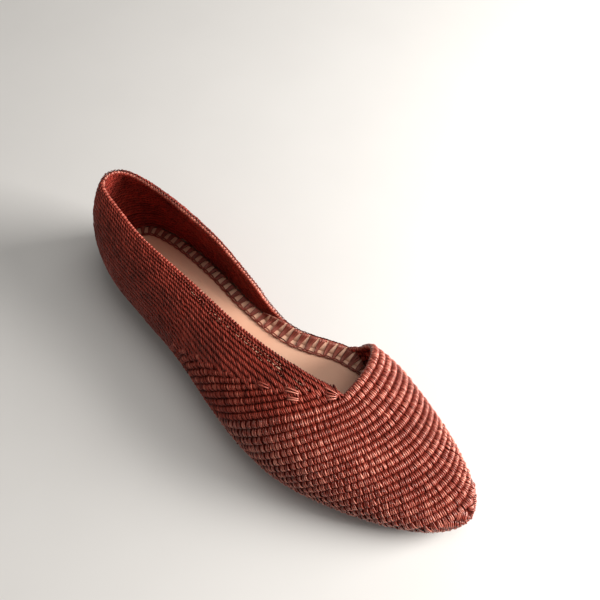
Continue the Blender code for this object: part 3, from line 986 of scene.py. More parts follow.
@dataclass(frozen=True)
class RaffiaFinish:
    """Dyed, shiny raffia strands, lighter where their tone is higher: random mottle, and on the upper
    painted light and shade.
    """

    name: str
    dark: Colour
    mid: Colour
    light: Colour
    bump: float = 0.35
    bump_depth: float = 0.0002
    gloss: float = 0.6
    gloss_tint: Colour = (1.0, 0.72, 0.60, 1.0)
    coat: float = 0.0
    coat_refraction: float = 1.6
    coat_roughness: float = 0.22
    coat_tint: Colour = (1.0, 0.88, 0.80, 1.0)

    def material(self, group: bpy.types.NodeTree) -> bpy.types.Material:
        """Make the material.

        Args:
            group: The strand group.

        Returns:
            The new material.
        """
        material, graph, shader = new_material(self.name)
        inputs = {
            "Fibre": graph.add("ShaderNodeUVMap", uv_map="fibre").outputs[0],
            "Place": graph.add("ShaderNodeTexCoord").outputs["Object"],
            "Tone": graph.add("ShaderNodeAttribute", attribute_name="tone").outputs["Fac"],
            "Dark": self.dark,
            "Mid": self.mid,
            "Light": self.light,
        }
        strand = graph.add("ShaderNodeGroup", inputs, node_tree=group)
        graph.link_surface(shader, strand, self.bump, self.bump_depth)
        values = {
            "Specular IOR Level": self.gloss,
            "Specular Tint": self.gloss_tint,
            "Coat Weight": self.coat,
            "Coat IOR": self.coat_refraction,
            "Coat Roughness": self.coat_roughness,
            "Coat Tint": self.coat_tint,
        }
        for key, value in values.items():
            shader.inputs[key].default_value = value
        return material


@dataclass(frozen=True)
class GrainFinish:
    """A grained sheet, leather or rubber."""

    name: str
    base: Colour
    worn: Colour
    grain: float
    stain: float
    bump: float
    bump_depth: float

    def material(self, group: bpy.types.NodeTree) -> bpy.types.Material:
        """Make the material.

        Args:
            group: The grain group.

        Returns:
            The new material.
        """
        material, graph, shader = new_material(self.name)
        inputs = {
            "Place": graph.add("ShaderNodeTexCoord").outputs["Object"],
            "Grain": self.grain,
            "Stain": self.stain,
            "Base": self.base,
            "Worn": self.worn,
        }
        sheet = graph.add("ShaderNodeGroup", inputs, node_tree=group)
        graph.link_surface(shader, sheet, self.bump, self.bump_depth)
        return material


# One raffia dye on the upper's outside: the front copy's light colour is paler than the quarter's, as
# painted highlight on the lit vamp, toe and edges.
UPPER_RAFFIA_WITH_PAINTED_HIGHLIGHT = RaffiaFinish(
    "upper_raffia_with_painted_highlight", dark=(0.08, 0.009, 0.005, 1.0), mid=(0.29, 0.034, 0.020, 1.0),
    light=(0.78, 0.29, 0.21, 1.0), gloss=0.8, coat=0.4,
)
QUARTER_RAFFIA = RaffiaFinish(
    "quarter_raffia", dark=(0.05, 0.006, 0.004, 1.0), mid=(0.30, 0.036, 0.022, 1.0),
    light=(0.60, 0.17, 0.115, 1.0), gloss=0.35,
)
# The cords and the backing show only in the gaps between stitches: their dark finish and low tone are
# painted shade there.
CORD_RAFFIA = RaffiaFinish(
    "cord_raffia", dark=(0.14, 0.015, 0.009, 1.0), mid=(0.24, 0.030, 0.019, 1.0),
    light=(0.30, 0.06, 0.04, 1.0), gloss=0.05,
)
# The inner raffia is brighter and redder than the outer: painted light standing for light that comes
# through the weave.
INNER_RAFFIA_WITH_PAINTED_LIGHT = RaffiaFinish(
    "inner_raffia_with_painted_light", dark=(0.09, 0.009, 0.007, 1.0), mid=(0.50, 0.066, 0.044, 1.0),
    light=(0.66, 0.15, 0.10, 1.0), gloss=0.25,
)
LACING_RAFFIA = RaffiaFinish(
    "lacing_raffia", dark=(0.05, 0.008, 0.006, 1.0), mid=(0.24, 0.048, 0.032, 1.0),
    light=(0.46, 0.165, 0.115, 1.0),
)
INSOLE_LEATHER = GrainFinish(
    "insole_leather", base=(0.77, 0.47, 0.32, 1.0), worn=(0.69, 0.345, 0.22, 1.0),
    grain=2600.0, stain=16.0, bump=0.12, bump_depth=0.0002,
)
SOLE_RUBBER = GrainFinish(
    "sole_rubber", base=(0.15, 0.075, 0.045, 1.0), worn=(0.11, 0.053, 0.033, 1.0),
    grain=1500.0, stain=30.0, bump=0.3, bump_depth=0.0003,
)


@dataclass(frozen=True)
class StitchStyle:
    """How the strands lie on one family of rows.

    The width of a stitch along its row, its rise and the step over its strands are in millimetres, and
    a strand's roll is in degrees. The fill, gather and shift are shares of the width, and the lean is a
    share of the distance to the next row.
    """

    name: str
    width: float
    fill: float
    lean: float
    gather: float
    shift: float
    rise: float
    step: float
    roll: float
    tone: float
    mottle: float = 0.13
    outer_strands: int = 3
    inner_strands: int = 2


VAMP_STYLE = StitchStyle("vamp", width=3.2, fill=0.95, lean=0.10, gather=0.55, shift=0.42, rise=1.0,
                         step=0.45, roll=16.0, tone=0.48)
SHORT_STYLE = StitchStyle("side", width=3.0, fill=0.95, lean=0.15, gather=0.60, shift=-0.35, rise=0.95,
                          step=-0.35, roll=-12.0, tone=0.43)
# The quarter's tone is far below the vamp's: the same raffia, darkened all round as painted shade for
# the lateral wall, which faces away from the light.
QUARTER_STYLE = StitchStyle("quarter", width=1.9, fill=1.3, lean=-2.2, gather=0.95, shift=0.0, rise=0.8,
                            step=0.0, roll=0.0, tone=0.25, mottle=0.07, outer_strands=1, inner_strands=1)
TOE_STYLE = StitchStyle("toe", width=3.0, fill=0.95, lean=0.10, gather=0.75, shift=0.42, rise=0.9,
                        step=0.45, roll=16.0, tone=0.48)


@dataclass(frozen=True)
class RopeStyle:
    """How the rolled edge of the opening is wrapped, in millimetres, with its tone and mottle."""

    radius: float
    core: float
    pitch: float
    strand: float
    thickness: float
    slant: float
    tone: float
    mottle: float


# The ropes are toned lighter than the wall: partly wear on the rolled edges and partly painted highlight
# on them.
COLLAR_ROPE = RopeStyle(radius=0.9, core=0.80, pitch=1.0, strand=1.30, thickness=0.18, slant=1.3,
                        tone=0.62, mottle=0.10)
THROAT_ROPE = RopeStyle(radius=1.3, core=1.04, pitch=1.35, strand=1.05, thickness=0.3, slant=1.1,
                        tone=0.66, mottle=0.16)


@dataclass
class Upper:
    """The crocheted upper: core cords along the rows, wrapped with raffia stitches inside and out."""

    last: Last
    wall: float = 2.0
    core_depth: float = 1.0
    core_half_height: float = 0.75
    core_fill: float = 0.54
    core_step: float = 2.2
    # dark tone of the cords and the backing: painted shade in the gaps between stitches
    core_tone: float = 0.05
    rope_core_tone: float = 0.35
    backing_depth: float = 0.95
    backing_thickness: float = 0.2
    backing_stops: int = 150
    backing_lap: float = 0.12
    strand_thickness: float = 0.3
    strand_width: tuple[float, float] = (0.75, 1.10)
    inner_lift: float = 0.45
    valley_painted_shade: float = 0.34
    valley_level: float = 0.6
    edge_painted_light: float = 0.12
    row_start: tuple[float, float] = (0.2, 0.8)
    offset_spread: float = 0.04
    lift_spread: float = 0.09
    lean_spread: float = 0.08
    roll_spread: float = 11.0
    loose_rows: tuple[int, int] = (2, 4)
    loose_y: tuple[float, float] = (52.0, 168.0)
    loose_fade: tuple[float, float] = (15.0, 10.0)
    loose_share: float = 0.6
    loose_pull: float = 0.34
    loose_narrowing: float = 0.25
    rope_seat: float = 0.7
    wrap_turn: float = 140.0
    wrap_stops: int = 9
    wrap_spread: float = 0.04
    slant_spread: float = 0.18
    wrap_painted_light: float = 0.25
    tuft_stops: int = 6
    tuft_tone: tuple[float, float] = (0.78, 0.1)
    seed: int = 11

    # Profile of a strand over its row: where it is across the row, and its height as a share of rise
    PROFILE_ACROSS = (-0.58, -0.42, -0.18, 0.10, 0.36, 0.56)
    PROFILE_HEIGHT = (-0.75, 0.05, 0.80, 1.00, 0.68, -0.45)
    INNER_ACROSS = (-0.55, -0.25, 0.10, 0.50)
    INNER_HEIGHT = (-0.50, 0.65, 0.80, -0.40)

    # Width of a stitch over its row: places across the row, and the widths after its gathered start
    GATHER_ACROSS = (-0.6, 0.0, 0.6)
    GATHER_WIDTHS = (0.95, 1.0)

    # Bow of a loose strand end: its height at the ends and the rise of its bow, where the bow starts
    # and how much of a half turn it takes up, and its width at the start and how much it loses
    TUFT_HEIGHT, TUFT_RISE = 0.5, 1.3
    TUFT_START, TUFT_REACH = 0.1, 0.8
    TUFT_WIDTH, TUFT_TAPER = 0.95, 0.35

    # Loose strand ends on the seam: each strand from (y, across) to (y, across) on the last
    TUFTS = (
        ((167.5, 0.040), (174.8, 0.026)),
        ((169.0, 0.052), (174.8, 0.030)),
        ((171.0, 0.058), (175.0, 0.034)),
        ((172.6, 0.066), (175.2, 0.040)),
        ((154.0, 0.140), (160.6, 0.118)),
        ((155.0, 0.152), (161.0, 0.124)),
        ((158.0, 0.164), (162.6, 0.138)),
        ((158.6, 0.172), (163.0, 0.144)),
        ((142.0, 0.205), (147.5, 0.186)),
        ((143.0, 0.215), (148.5, 0.194)),
    )

    def __post_init__(self) -> None:
        """Lay out the four families of rows."""
        self.vamp = VampRows(self.last)
        self.toe = ToeRows(self.last)
        self.short = ShortRows(self.last)
        self.quarter = QuarterRows(self.last)
        self.random = np.random.default_rng(self.seed)

    def looseness(self, rows: RowMap, row: Array, path: Array) -> Array:
        """How far the rows part, from 0 where they touch to 1 where light comes through.

        Args:
            rows: Family of rows.
            row: Row numbers.
            path: Positions along those rows.

        Returns:
            One value for each position.
        """
        if rows is not self.quarter:
            return np.zeros(len(path))
        y = self.last.read("y", np.abs(path))
        (low, high), (rising, falling) = self.loose_y, self.loose_fade
        along = np.interp(y, [low, low + rising, high - falling, high], [0.0, 1.0, 1.0, 0.0])
        inside = (row > self.loose_rows[0]) & (row < self.loose_rows[1]) & (path < 0)
        return along * inside

    def row_frames(self, rows: RowMap, spacing: float) -> tuple[Frames, Array, Array]:
        """Frames of all stitches on a family of rows.

        Args:
            rows: Family of rows.
            spacing: Wanted width of a stitch.

        Returns:
            The frames, the width of each stitch, and how loose it is.
        """
        path, row, width = [], [], []
        for number in range(rows.count):
            stops, size = rows.stops(number + 0.5, spacing, self.random.uniform(*self.row_start))
            path.append(stops)
            row.append(np.full(len(stops), number + 0.5))
            width.append(np.full(len(stops), size))
        path, row, width = (np.concatenate(values) for values in (path, row, width))
        loose = self.looseness(rows, row, path) * (self.random.random(len(path)) < self.loose_share)
        return rows.frames(row, path), width, loose

    def add_stitches(self, batch: MeshBatch, frames: Frames, width: Array, loose: Array,
                     side: Side, style: StitchStyle) -> None:
        """Wrap strands over the rows.

        Args:
            batch: Mesh to add to.
            frames: One frame for each stitch.
            width: Width of each stitch along its row.
            loose: How loose each stitch is.
            side: Face of the wall.
            style: How the strands lie.
        """
        outer = side is Side.OUTER
        strands = style.outer_strands if outer else style.inner_strands
        profile = np.array(self.PROFILE_ACROSS if outer else self.INNER_ACROSS)
        height = np.array(self.PROFILE_HEIGHT if outer else self.INNER_HEIGHT)
        up = frames.normal * side.value
        base = frames.centre if outer else frames.centre - frames.normal * (self.wall - self.inner_lift)
        widths = np.array([style.gather, *self.GATHER_WIDTHS])
        spread = smooth(np.array(self.GATHER_ACROSS), widths, profile)
        across = profile * (1 - self.loose_pull * loose[:, None])
        count = len(width)
        for strand in range(strands):
            place = (strand + 0.5) / strands - 0.5
            offset = (place * style.fill + self.random.normal(0, self.offset_spread, count)) * width
            thin = self.random.uniform(*self.strand_width, count) * width * style.fill / strands
            thin = thin * (1 - self.loose_narrowing * loose)
            lift = self.random.normal(0, self.lift_spread, count)
            skew = (style.lean + self.random.normal(0, self.lean_spread, count)) * frames.pitch
            along = offset[:, None] * spread + skew[:, None] * across
            along = along + style.shift * width[:, None] * (1 - spread)
            over = frames.pitch[:, None] * across
            rise = height * style.rise + lift[:, None] + style.step * place
            path = (base[:, None] + frames.along[:, None] * along[..., None]
                    + frames.over[:, None] * over[..., None] + up[:, None] * rise[..., None])
            run = unit(path[:, -1] - path[:, 0])
            flat = unit(frames.along - dot(frames.along, run) * run)
            roll = np.radians(style.roll + self.random.normal(0, self.roll_spread, count))[:, None]
            raised = flat * np.cos(roll) + up * np.sin(roll)
            facing = up * np.cos(roll) - flat * np.sin(roll)
            shade = style.tone + self.random.normal(0, style.mottle, count)[:, None]
            # painted shade in the valleys between rows and painted light on the crests, by each strand's
            # height over its row
            shade = shade + self.valley_painted_shade * (height - self.valley_level)
            # painted light on the raised side of each stitch and painted shade on its low side
            shade = shade + self.edge_painted_light * place * np.sign(style.step)
            batch.add_strips(path, np.broadcast_to(raised[:, None], path.shape),
                             np.broadcast_to(facing[:, None], path.shape),
                             (thin * dot(flat, frames.along)[:, 0])[:, None] * spread,
                             self.strand_thickness, shade)

    def add_cores(self, batch: MeshBatch, rows: RowMap) -> None:
        """Lay the core cord of each row, side by side, as the body of the wall.

        Args:
            batch: Mesh to add to.
            rows: Family of rows.
        """
        for number in range(rows.count):
            row = number + 0.5
            low, high = rows.span(row)
            inner, _ = rows.stops(row, self.core_step)
            path = np.concatenate([[low], inner, [high]])
            frames = rows.frames(np.full(len(path), row), path)
            loose = self.looseness(rows, np.full(len(path), row), path)
            centre = frames.centre - frames.normal * self.core_depth
            batch.add_tube(centre, frames.over, frames.normal,
                           frames.pitch * self.core_fill * (1 - self.loose_pull * loose),
                           np.full(len(path), self.core_half_height), self.core_tone)

    def add_backing(self, batch: MeshBatch, rows: RowMap) -> None:
        """Back the rows with a thin sheet in the middle of the wall, below any loose rows, toned dark as
        painted shade seen through the gaps.

        Args:
            batch: Mesh to add to.
            rows: Family of rows.
        """
        first = self.loose_rows[1] if rows is self.quarter else 0
        row = np.linspace(first, rows.count, 2 * (rows.count - first) + 1)
        low, high = np.array([rows.span(number) for number in row]).T[..., None]
        low = low - (self.backing_lap if rows is self.quarter else 0.0)
        path = low + (high - low) * np.linspace(0, 1, self.backing_stops)
        row = np.broadcast_to(row[:, None], path.shape)
        normal = self.last.normal(*rows.surface(row, path))
        batch.add_sheet(rows.point(row, path) - normal * self.backing_depth, normal,
                        self.backing_thickness, self.core_tone)

    def add_rope(self, batch: MeshBatch, rows: RowMap, span: tuple[float, float],
                 style: RopeStyle) -> None:
        """Roll the edge of the opening: slanted wraps over a core, along row 0.

        Args:
            batch: Mesh to add to.
            rows: Family of rows whose first line is the edge.
            span: Start and end of the edge on the path.
            style: How the edge is wrapped.
        """
        radius = style.radius
        dense = np.linspace(*span, rows.dense)
        length = run_length(rows.point(np.zeros(rows.dense), dense))
        count = int(length[-1] / style.pitch)
        path = np.interp((np.arange(count) + 0.5) / count * length[-1], length, dense)
        frames = rows.frames(np.full(count, rows.row_step), path)
        middle = frames.centre + frames.over * radius * self.rope_seat - frames.normal * self.wall / 2
        core = np.full(count, style.core)
        batch.add_tube(middle, frames.over, frames.normal, core, core, self.rope_core_tone)
        turn = np.radians(np.linspace(-self.wrap_turn, self.wrap_turn, self.wrap_stops))
        reach = radius + self.random.normal(0, self.wrap_spread, count)
        out = (-frames.over[:, None] * np.cos(turn)[:, None]
               + frames.normal[:, None] * np.sin(turn)[:, None])
        slants = style.slant + self.random.normal(0, self.slant_spread, count)
        slant = (turn / turn[-1])[None] * slants[:, None]
        strand = middle[:, None] + out * reach[:, None, None] + frames.along[:, None] * slant[..., None]
        widths = self.random.uniform(*self.strand_width, count)
        width = np.broadcast_to(widths[:, None], strand.shape[:2])
        shade = style.tone + self.random.normal(0, style.mottle, count)[:, None]
        # painted light on the crest of the rolled edge and painted shade where the wraps tuck under it
        shade = shade + self.wrap_painted_light * (np.cos(turn) - 0.5)
        batch.add_strips(strand, np.broadcast_to(frames.along[:, None], strand.shape), out,
                         width * style.strand, style.thickness, shade)

    def add_tufts(self, batch: MeshBatch) -> None:
        """Lay loose strand ends over the seam.

        Args:
            batch: Mesh to add to.
        """
        t = np.linspace(0, 1, self.tuft_stops)
        ends = np.array(self.TUFTS)
        y = ends[:, 0, :1] + (ends[:, 1, :1] - ends[:, 0, :1]) * t
        across = ends[:, 0, 1:] + (ends[:, 1, 1:] - ends[:, 0, 1:]) * t
        place = self.last.place_of(y)
        up = self.last.normal(place, across)
        bow = np.sin(np.pi * (self.TUFT_START + self.TUFT_REACH * t))
        lift = self.TUFT_HEIGHT + self.TUFT_RISE * bow
        path = self.last.point(place, across) + up * lift[:, None]
        side = unit(np.cross(np.gradient(path, axis=1), up))
        width = np.broadcast_to(self.TUFT_WIDTH - self.TUFT_TAPER * t, y.shape)
        shade = np.broadcast_to(self.random.normal(*self.tuft_tone, len(ends))[:, None], y.shape)
        batch.add_strips(path, side, up, width, self.strand_thickness, shade)

    def throat_span(self) -> tuple[float, float]:
        """Path of the throat's edge on the vamp's first row.

        Returns:
            Its start at the notch and its end at the sill.
        """
        sill = -float(self.last.edge_across(MEDIAL_EDGE, QuarterRows.sill_y))
        apex = float(self.vamp.value("apex_across", np.array(0.0)))
        return 0.5, 0.5 + (apex - sill) / (1 + apex) / 2

    def build(self, front: bpy.types.Material, back: bpy.types.Material, inner: bpy.types.Material,
              cord: bpy.types.Material) -> list[bpy.types.Object]:
        """Build all pieces of the upper.

        Args:
            front: Finish of the outer stitches of the vamp and toe, and of the edges.
            back: Finish of the outer stitches behind the vamp.
            inner: Finish of the inner stitches, brightened as painted light that comes through the
                weave.
            cord: Finish of the core cords and the backing, dark as painted shade in the gaps between
                stitches.

        Returns:
            The new pieces, the core cords first.
        """
        families = ((self.vamp, VAMP_STYLE, front), (self.toe, TOE_STYLE, front),
                    (self.short, SHORT_STYLE, back), (self.quarter, QUARTER_STYLE, back))
        cores = MeshBatch(self.last)
        for rows, _, _ in families:
            self.add_cores(cores, rows)
            self.add_backing(cores, rows)
        pieces = [cores.build("row_cords", cord)]
        for rows, style, outer in families:
            frames, width, loose = self.row_frames(rows, style.width)
            faces = ((Side.OUTER, "stitches", outer), (Side.INNER, "inner_stitches", inner))
            for side, name, material in faces:
                batch = MeshBatch(self.last)
                self.add_stitches(batch, frames, width, loose, side, style)
                pieces.append(batch.build(f"{style.name}_{name}", material))
        edges = MeshBatch(self.last)
        self.add_rope(edges, self.quarter, self.quarter.span(0.0), COLLAR_ROPE)
        self.add_rope(edges, self.vamp, self.throat_span(), THROAT_ROPE)
        self.add_tufts(edges)
        pieces.append(edges.build("edge_ropes", front))
        return pieces


@dataclass
class RimLacing:
    """Raffia lacing over the rim of the insole: fans of strands with windows, on a chain of links."""

    last: Last
    inset: float = 3.3
    pitch: float = 5.4
    end_y: float = 186.0
    insole_top: float = 2.0
    gap: float = 0.3
    strand_thickness: float = 0.3
    samples: int = 600
    strand_stops: int = 7
    brim_y: tuple[float, ...] = (100.0, 116.0, 158.0, 168.0)
    brim_in: float = 1.2
    edge_least: float = 1.0
    fan_width: tuple[float, float] = (0.75, 1.05)
    fan_place_spread: float = 0.02
    fan_lift_spread: float = 0.07
    fan_tone: float = 0.5
    fan_edge_tone: float = 0.40
    fan_mottle: float = 0.10
    link_width: tuple[float, float] = (0.7, 0.9)
    link_start: float = -0.08
    link_length: float = 1.2
    link_depth: float = 0.94
    link_twist: float = 0.05
    link_hump: float = 0.25
    link_lift_spread: float = 0.05
    link_tone: tuple[float, float] = (0.42, 0.12)
    seed: int = 23

    # Width of the lacing along the shoe, narrower beside the open waist
    WIDTH = ((110.0, 6.0), (150.0, 4.4))

    # Fold of the leather's turned edge: place across the lacing as in point, and height over the insole
    FOLD = ((0.35, -0.45), (0.0, 0.35), (-1.0, 0.55))

    # One fan, in cells along the rim: where each strand leaves the chain, meets the wall and ends
    FAN = (
        (0.0, 0.0, 0.0), (0.04, 0.09, 0.15), (0.08, 0.18, 0.30),
        (0.12, 0.27, 0.45), (0.16, 0.36, 0.58), (0.19, 0.42, 0.68),
    )

    # Those three places as shares of a strand's run, with its depth as in point and its height there
    FAN_BENDS = (0.0, 0.6, 1.0)
    FAN_DEPTH = (0.95, 0.0, -1.0)
    FAN_HEIGHT = (0.45, 1.1, 1.0)

    # The two strands of a chain link: how far each bows sideways, and its height over the insole
    LINK = ((-0.11, 0.85), (0.11, 0.7))

    def __post_init__(self) -> None:
        """Run the rails round the heel: at the wall, at the inner edge, and on the sill's brim."""
        place = np.linspace(0, self.last.top_place, self.samples)
        used = self.last.read("y", place) < self.end_y
        outlines = [self.last.seat_outline(place, self.inset + more) for more in (0.0, 1.0)]
        first, second = (
            np.concatenate([lateral[used][::-1], medial[used][1:]]) for lateral, medial in outlines
        )
        width = np.interp(first[:, 1], *np.array(self.WIDTH).T)[:, None]
        self.outer = self.lifted(first)
        self.inner = self.lifted(first + (second - first) * width)
        self.distance = run_length(first)
        self.cells = int(round(self.distance[-1] / self.pitch))
        self.random = np.random.default_rng(self.seed)
        self.add_brim(place[used])

    def lifted(self, flat: Array) -> Array:
        """Set flat points on the insole."""
        z = self.last.seat_height(flat[:, 1]) + self.insole_top + self.gap
        return np.concatenate([flat, z[:, None]], axis=1)

    def add_brim(self, place: Array) -> None:
        """Find where the strands end outside: on the medial sill, or at the foot of the wall.

        Args:
            place: Places of the stations from the heel forwards.
        """
        y = self.last.read("y", place)
        across = -self.last.edge_across(MEDIAL_EDGE, np.minimum(y, MEDIAL_EDGE[-1][0]))
        sill = self.last.point(place, across) - self.last.normal(place, across) * self.brim_in
        share = np.interp(y, self.brim_y, (0.0, 1.0, 1.0, 0.0))[:, None]
        medial = self.outer[-(len(place) - 1):]
        self.brim = self.outer.copy()
        self.brim[-(len(place) - 1):] = medial + (sill[1:] - medial) * share[1:]

    def point(self, cell: Array, depth: Array, lift: Array) -> Array:
        """Point on the lacing.

        Args:
            cell: Position along the rim, counted in cells.
            depth: 1 at the inner edge, 0 at the wall, -1 on the brim.
            lift: Height over the insole.

        Returns:
            Points in the last's millimetres.
        """
        at = np.clip(cell / self.cells, 0.0, 1.0) * self.distance[-1]
        outer, inner, brim = (
            np.stack([np.interp(at, self.distance, rail[:, axis]) for axis in range(3)], axis=-1)
            for rail in (self.outer, self.inner, self.brim)
        )
        depth = np.asarray(depth)[..., None]
        points = outer + (inner - outer) * np.maximum(depth, 0) + (brim - outer) * np.maximum(-depth, 0)
        points[..., 2] += lift
        return points

    def add_run(self, batch: MeshBatch, cell: Array, depth: Array, lift: Array, width: Array,
                tone: Array) -> None:
        """Add strands that run over the lacing.

        Args:
            batch: Mesh to add to.
            cell: Positions along the rim, as (strand, stop).
            depth: Positions across the band, as (strand, stop).
            lift: Heights, as (strand, stop).
            width: Width of each strand.
            tone: Lightness of each strand.
        """
        path = self.point(cell, depth, lift)
        up = np.broadcast_to(np.array([0.0, 0.0, 1.0]), path.shape)
        side = unit(np.cross(np.gradient(path, axis=1), up))
        tones = np.broadcast_to(tone[:, None], path.shape[:2])
        batch.add_strips(path, side, up, np.broadcast_to(width[:, None], path.shape[:2]),
                         self.strand_thickness, tones)

    def add_fans(self, batch: MeshBatch) -> None:
        """Spread one fan of strands in each cell, from the chain out to the brim.

        Args:
            batch: Mesh to add to.
        """
        cells = np.arange(self.cells)
        t = np.linspace(0, 1, self.strand_stops)
        for order, places in enumerate(self.FAN):
            shift = self.random.normal(0, self.fan_place_spread, (self.cells, 1))
            cell = cells[:, None] + np.interp(t, self.FAN_BENDS, places) + shift
            depth = np.broadcast_to(np.interp(t, self.FAN_BENDS, self.FAN_DEPTH), cell.shape)
            uneven = self.random.normal(0, self.fan_lift_spread, (self.cells, 1))
            lift = np.interp(t, self.FAN_BENDS, self.FAN_HEIGHT) + uneven
            edge = order in (0, len(self.FAN) - 1)
            middle_tone = self.fan_edge_tone if edge else self.fan_tone
            tone = self.random.normal(middle_tone, self.fan_mottle, self.cells)
            width = self.random.uniform(*self.fan_width, self.cells)
            self.add_run(batch, cell, depth, lift, width, tone)

    def add_chain(self, batch: MeshBatch) -> None:
        """Lay the chain of links along the inner edge, two bowed strands to a link.

        Args:
            batch: Mesh to add to.
        """
        cells = np.arange(self.cells)
        t = np.linspace(0, 1, self.strand_stops)
        arc = np.sin(np.pi * t)
        for bow, lift in self.LINK:
            cell = cells[:, None] + self.link_start + self.link_length * t
            depths = self.link_depth + bow * arc + self.link_twist * (t - 0.5)
            depth = np.broadcast_to(depths, cell.shape)
            uneven = self.random.normal(0, self.link_lift_spread, (self.cells, 1))
            height = lift + self.link_hump * arc + uneven
            tone = self.random.normal(*self.link_tone, self.cells)
            width = self.random.uniform(*self.link_width, self.cells)
            self.add_run(batch, cell, depth, height, width, tone)

    def add_turned_edge(self, batch: MeshBatch) -> None:
        """Turn the edge of the insole's leather up against the medial sill.

        Args:
            batch: Mesh to add to.
        """
        cell = np.linspace(0, self.cells, 2 * self.cells)
        reach = np.linalg.norm(self.point(cell, -1.0, 0.0) - self.point(cell, 0.0, 0.0), axis=1)
        cell = cell[reach > self.edge_least]
        rails = np.stack([self.point(cell, depth, lift) for depth, lift in self.FOLD])
        up = unit(np.cross(np.gradient(rails, axis=0), np.gradient(rails, axis=1)))
        up = up * np.where(up[..., 2:] < 0, -1.0, 1.0)
        batch.add_sheet(rails, up, self.strand_thickness, 0.0)

    def build_turned_edge(self, material: bpy.types.Material) -> bpy.types.Object:
        """Build the leather edge behind the lacing's windows.

        Args:
            material: Finish of the leather.

        Returns:
            The new piece.
        """
        batch = MeshBatch(self.last)
        self.add_turned_edge(batch)
        return batch.build("insole_turned_edge", material)

    def build(self, material: bpy.types.Material) -> list[bpy.types.Object]:
        """Build the fans and the chain that holds them.

        Args:
            material: Finish of the raffia.

        Returns:
            The new pieces.
        """
        fans, chain = MeshBatch(self.last), MeshBatch(self.last)
        self.add_fans(fans)
        self.add_chain(chain)
        return [fans.build("lacing_fans", material), chain.build("lacing_chain", material)]


@dataclass
class SolePiece:
    """A moulded or cut piece under the foot, worked up from its plain solid."""

    node: str
    name: str
    bevel: float
    segments: int = 3
    sharp_angle: float = 35.0
    merge: float = 0.00002

    def build(self, material: bpy.types.Material) -> bpy.types.Object:
        """Copy the solid, join its loose faces and round its edges.

        Args:
            material: Its finish.

        Returns:
            The new piece.
        """
        bpy.ops.object.select_all(action="DESELECT")
        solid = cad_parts[self.node]
        piece = bpy.data.objects.new(self.name, solid.data.copy())
        bpy.context.scene.collection.objects.link(piece)
        bpy.context.view_layer.objects.active = piece
        piece.select_set(True)
        bpy.ops.object.mode_set(mode="EDIT")
        bpy.ops.mesh.select_all(action="SELECT")
        bpy.ops.mesh.remove_doubles(threshold=self.merge)
        bpy.ops.mesh.tris_convert_to_quads()
        bpy.ops.object.mode_set(mode="OBJECT")
        bevel = piece.modifiers.new("rounded_edge", "BEVEL")
        bevel.width = self.bevel
        bevel.segments = self.segments
        bevel.limit_method = "ANGLE"
        bevel.angle_limit = math.radians(self.sharp_angle)
        bpy.ops.object.modifier_apply(modifier=bevel.name)
        bpy.ops.object.shade_smooth_by_angle(angle=math.radians(self.sharp_angle))
        piece.data.materials.clear()
        piece.data.materials.append(material)
        log.info("%s: %d faces", self.name, len(piece.data.polygons))
        return piece


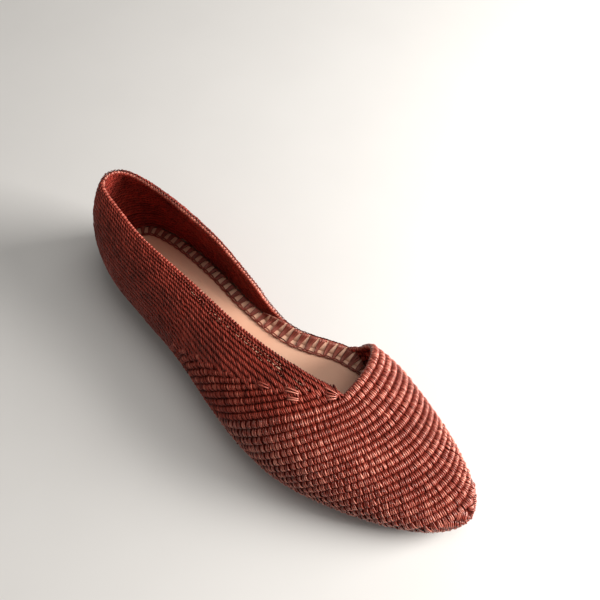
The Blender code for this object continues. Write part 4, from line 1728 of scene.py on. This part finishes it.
@dataclass
class Studio:
    """Pale floor, soft window light from the right, and the camera."""

    last: Last
    focal_px: float = 617.1
    image_px: float = 600.0
    sensor_mm: float = 36.0
    pitch_deg: float = 61.79
    roll_deg: float = 1.70
    height_mm: float = 332.9
    shoe_right_mm: float = -108.2
    shoe_away_mm: float = 220.6
    shoe_yaw_deg: float = -42.63
    clip_start: float = 0.01
    floor_size: float = 6.0
    floor_dark: Colour = (0.68, 0.67, 0.65, 1.0)
    floor_light: Colour = (0.72, 0.71, 0.69, 1.0)
    floor_cloud: float = 18.0
    floor_cloud_detail: float = 3.0
    floor_roughness: float = 0.7
    light_colour: tuple[float, float, float] = (1.0, 0.97, 0.94)
    fill_colour: Colour = (1.0, 0.98, 0.95, 1.0)
    key_power: float = 16.5
    key_size: float = 0.5
    key_place: tuple[float, float, float] = (0.80, 0.03, 0.36)
    top_power: float = 3.3
    top_size: float = 0.6
    top_place: tuple[float, float, float] = (0.30, 0.10, 0.9)
    fill_strength: float = 0.20

    def direction(self, right: float, away: float, up: float) -> Vector:
        """Turn a direction seen from the camera's place into the shoe's frame.

        Args:
            right: Share to the camera's right.
            away: Share level with the floor, away from the camera.
            up: Share upwards.

        Returns:
            The direction in the shoe's frame.
        """
        yaw = math.radians(self.shoe_yaw_deg)
        x = right * math.sin(yaw) - away * math.cos(yaw)
        y = right * math.cos(yaw) + away * math.sin(yaw)
        return Vector((x, y, up))

    def add_camera(self) -> None:
        """Set the camera where the shoe was seen from."""
        pitch, roll = math.radians(self.pitch_deg), math.radians(self.roll_deg)
        right = self.direction(1.0, 0.0, 0.0)
        forward = self.direction(0.0, math.cos(pitch), -math.sin(pitch))
        down = self.direction(0.0, -math.sin(pitch), -math.cos(pitch))
        turned_right = right * math.cos(roll) - down * math.sin(roll)
        turned_down = right * math.sin(roll) + down * math.cos(roll)
        spot = self.direction(-self.shoe_right_mm, -self.shoe_away_mm, self.height_mm)
        data = bpy.data.cameras.new("camera")
        data.sensor_width = self.sensor_mm
        data.lens = self.focal_px / self.image_px * self.sensor_mm
        data.clip_start = self.clip_start
        camera = bpy.data.objects.new("camera", data)
        axes = Matrix((turned_right, -turned_down, -forward)).transposed().to_4x4()
        camera.matrix_world = Matrix.Translation(Vector(self.last.to_frame(np.array(spot)))) @ axes
        bpy.context.scene.collection.objects.link(camera)
        bpy.context.scene.camera = camera

    def add_light(self, name: str, spot: Vector, size: float, power: float) -> None:
        """Add a square soft light that faces the shoe.

        Args:
            name: Its name.
            spot: Where it stands, in the shoe's frame.
            size: Length of its sides.
            power: Its power in watts.
        """
        data = bpy.data.lights.new(name, "AREA")
        data.size = size
        data.energy = power
        data.color = self.light_colour
        lamp = bpy.data.objects.new(name, data)
        lamp.location = spot
        lamp.rotation_mode = "QUATERNION"
        lamp.rotation_quaternion = (-spot).to_track_quat("-Z", "Y")
        bpy.context.scene.collection.objects.link(lamp)

    def add_floor(self) -> None:
        """Lay the pale floor."""
        bpy.ops.object.select_all(action="DESELECT")
        bpy.ops.mesh.primitive_plane_add(size=self.floor_size)
        floor = bpy.context.active_object
        floor.name = "floor"
        material, graph, shader = new_material("pale_floor")
        place = graph.add("ShaderNodeTexCoord").outputs["Object"]
        cloud = graph.noise(place, self.floor_cloud, self.floor_cloud_detail)
        graph.feed(shader.inputs["Base Color"], graph.mix(cloud, self.floor_dark, self.floor_light))
        shader.inputs["Roughness"].default_value = self.floor_roughness
        floor.data.materials.append(material)

    def build(self) -> None:
        """Set up floor, light and camera."""
        self.add_floor()
        self.add_camera()
        self.add_light("window", self.direction(*self.key_place), self.key_size, self.key_power)
        self.add_light("skylight", self.direction(*self.top_place), self.top_size, self.top_power)
        world = bpy.data.worlds.new("room")
        world.use_nodes = True
        background = world.node_tree.nodes["Background"]
        background.inputs["Color"].default_value = self.fill_colour
        background.inputs["Strength"].default_value = self.fill_strength
        bpy.context.scene.world = world
        bpy.context.scene.view_settings.view_transform = "Standard"


def dress(pieces: Sequence[bpy.types.Object], slot: str, *nodes: str) -> None:
    """Let pieces ride on the shoe, and hide the given CAD nodes.

    Args:
        pieces: The pieces.
        slot: The record's material slot; not used.
        nodes: The CAD nodes to hide.
    """
    for piece in pieces:
        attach(piece, BODY)
    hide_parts(*nodes)


def main() -> None:
    """Build the shoe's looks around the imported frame."""
    logging.basicConfig(level=logging.INFO, format="%(name)s %(message)s")
    last = Last()
    strand, grain = raffia_group(), grain_group()
    finishes = [
        finish.material(strand) for finish in (UPPER_RAFFIA_WITH_PAINTED_HIGHLIGHT, QUARTER_RAFFIA, INNER_RAFFIA_WITH_PAINTED_LIGHT, CORD_RAFFIA)
    ]
    dress(Upper(last).build(*finishes), "raffia_upper", "upper")
    lacing = RimLacing(last)
    dress(lacing.build(LACING_RAFFIA.material(strand)), "raffia_lacing", "rim_lacing")
    leather = INSOLE_LEATHER.material(grain)
    insole = SolePiece("insole", "insole_sheet", bevel=0.0006).build(leather)
    dress([insole, lacing.build_turned_edge(leather)], "insole_leather", "insole")
    outsole = SolePiece("outsole", "outsole_body", bevel=0.0009).build(SOLE_RUBBER.material(grain))
    dress([outsole], "sole_rubber", "outsole")
    Studio(last).build()


if __name__ == "__main__":
    main()
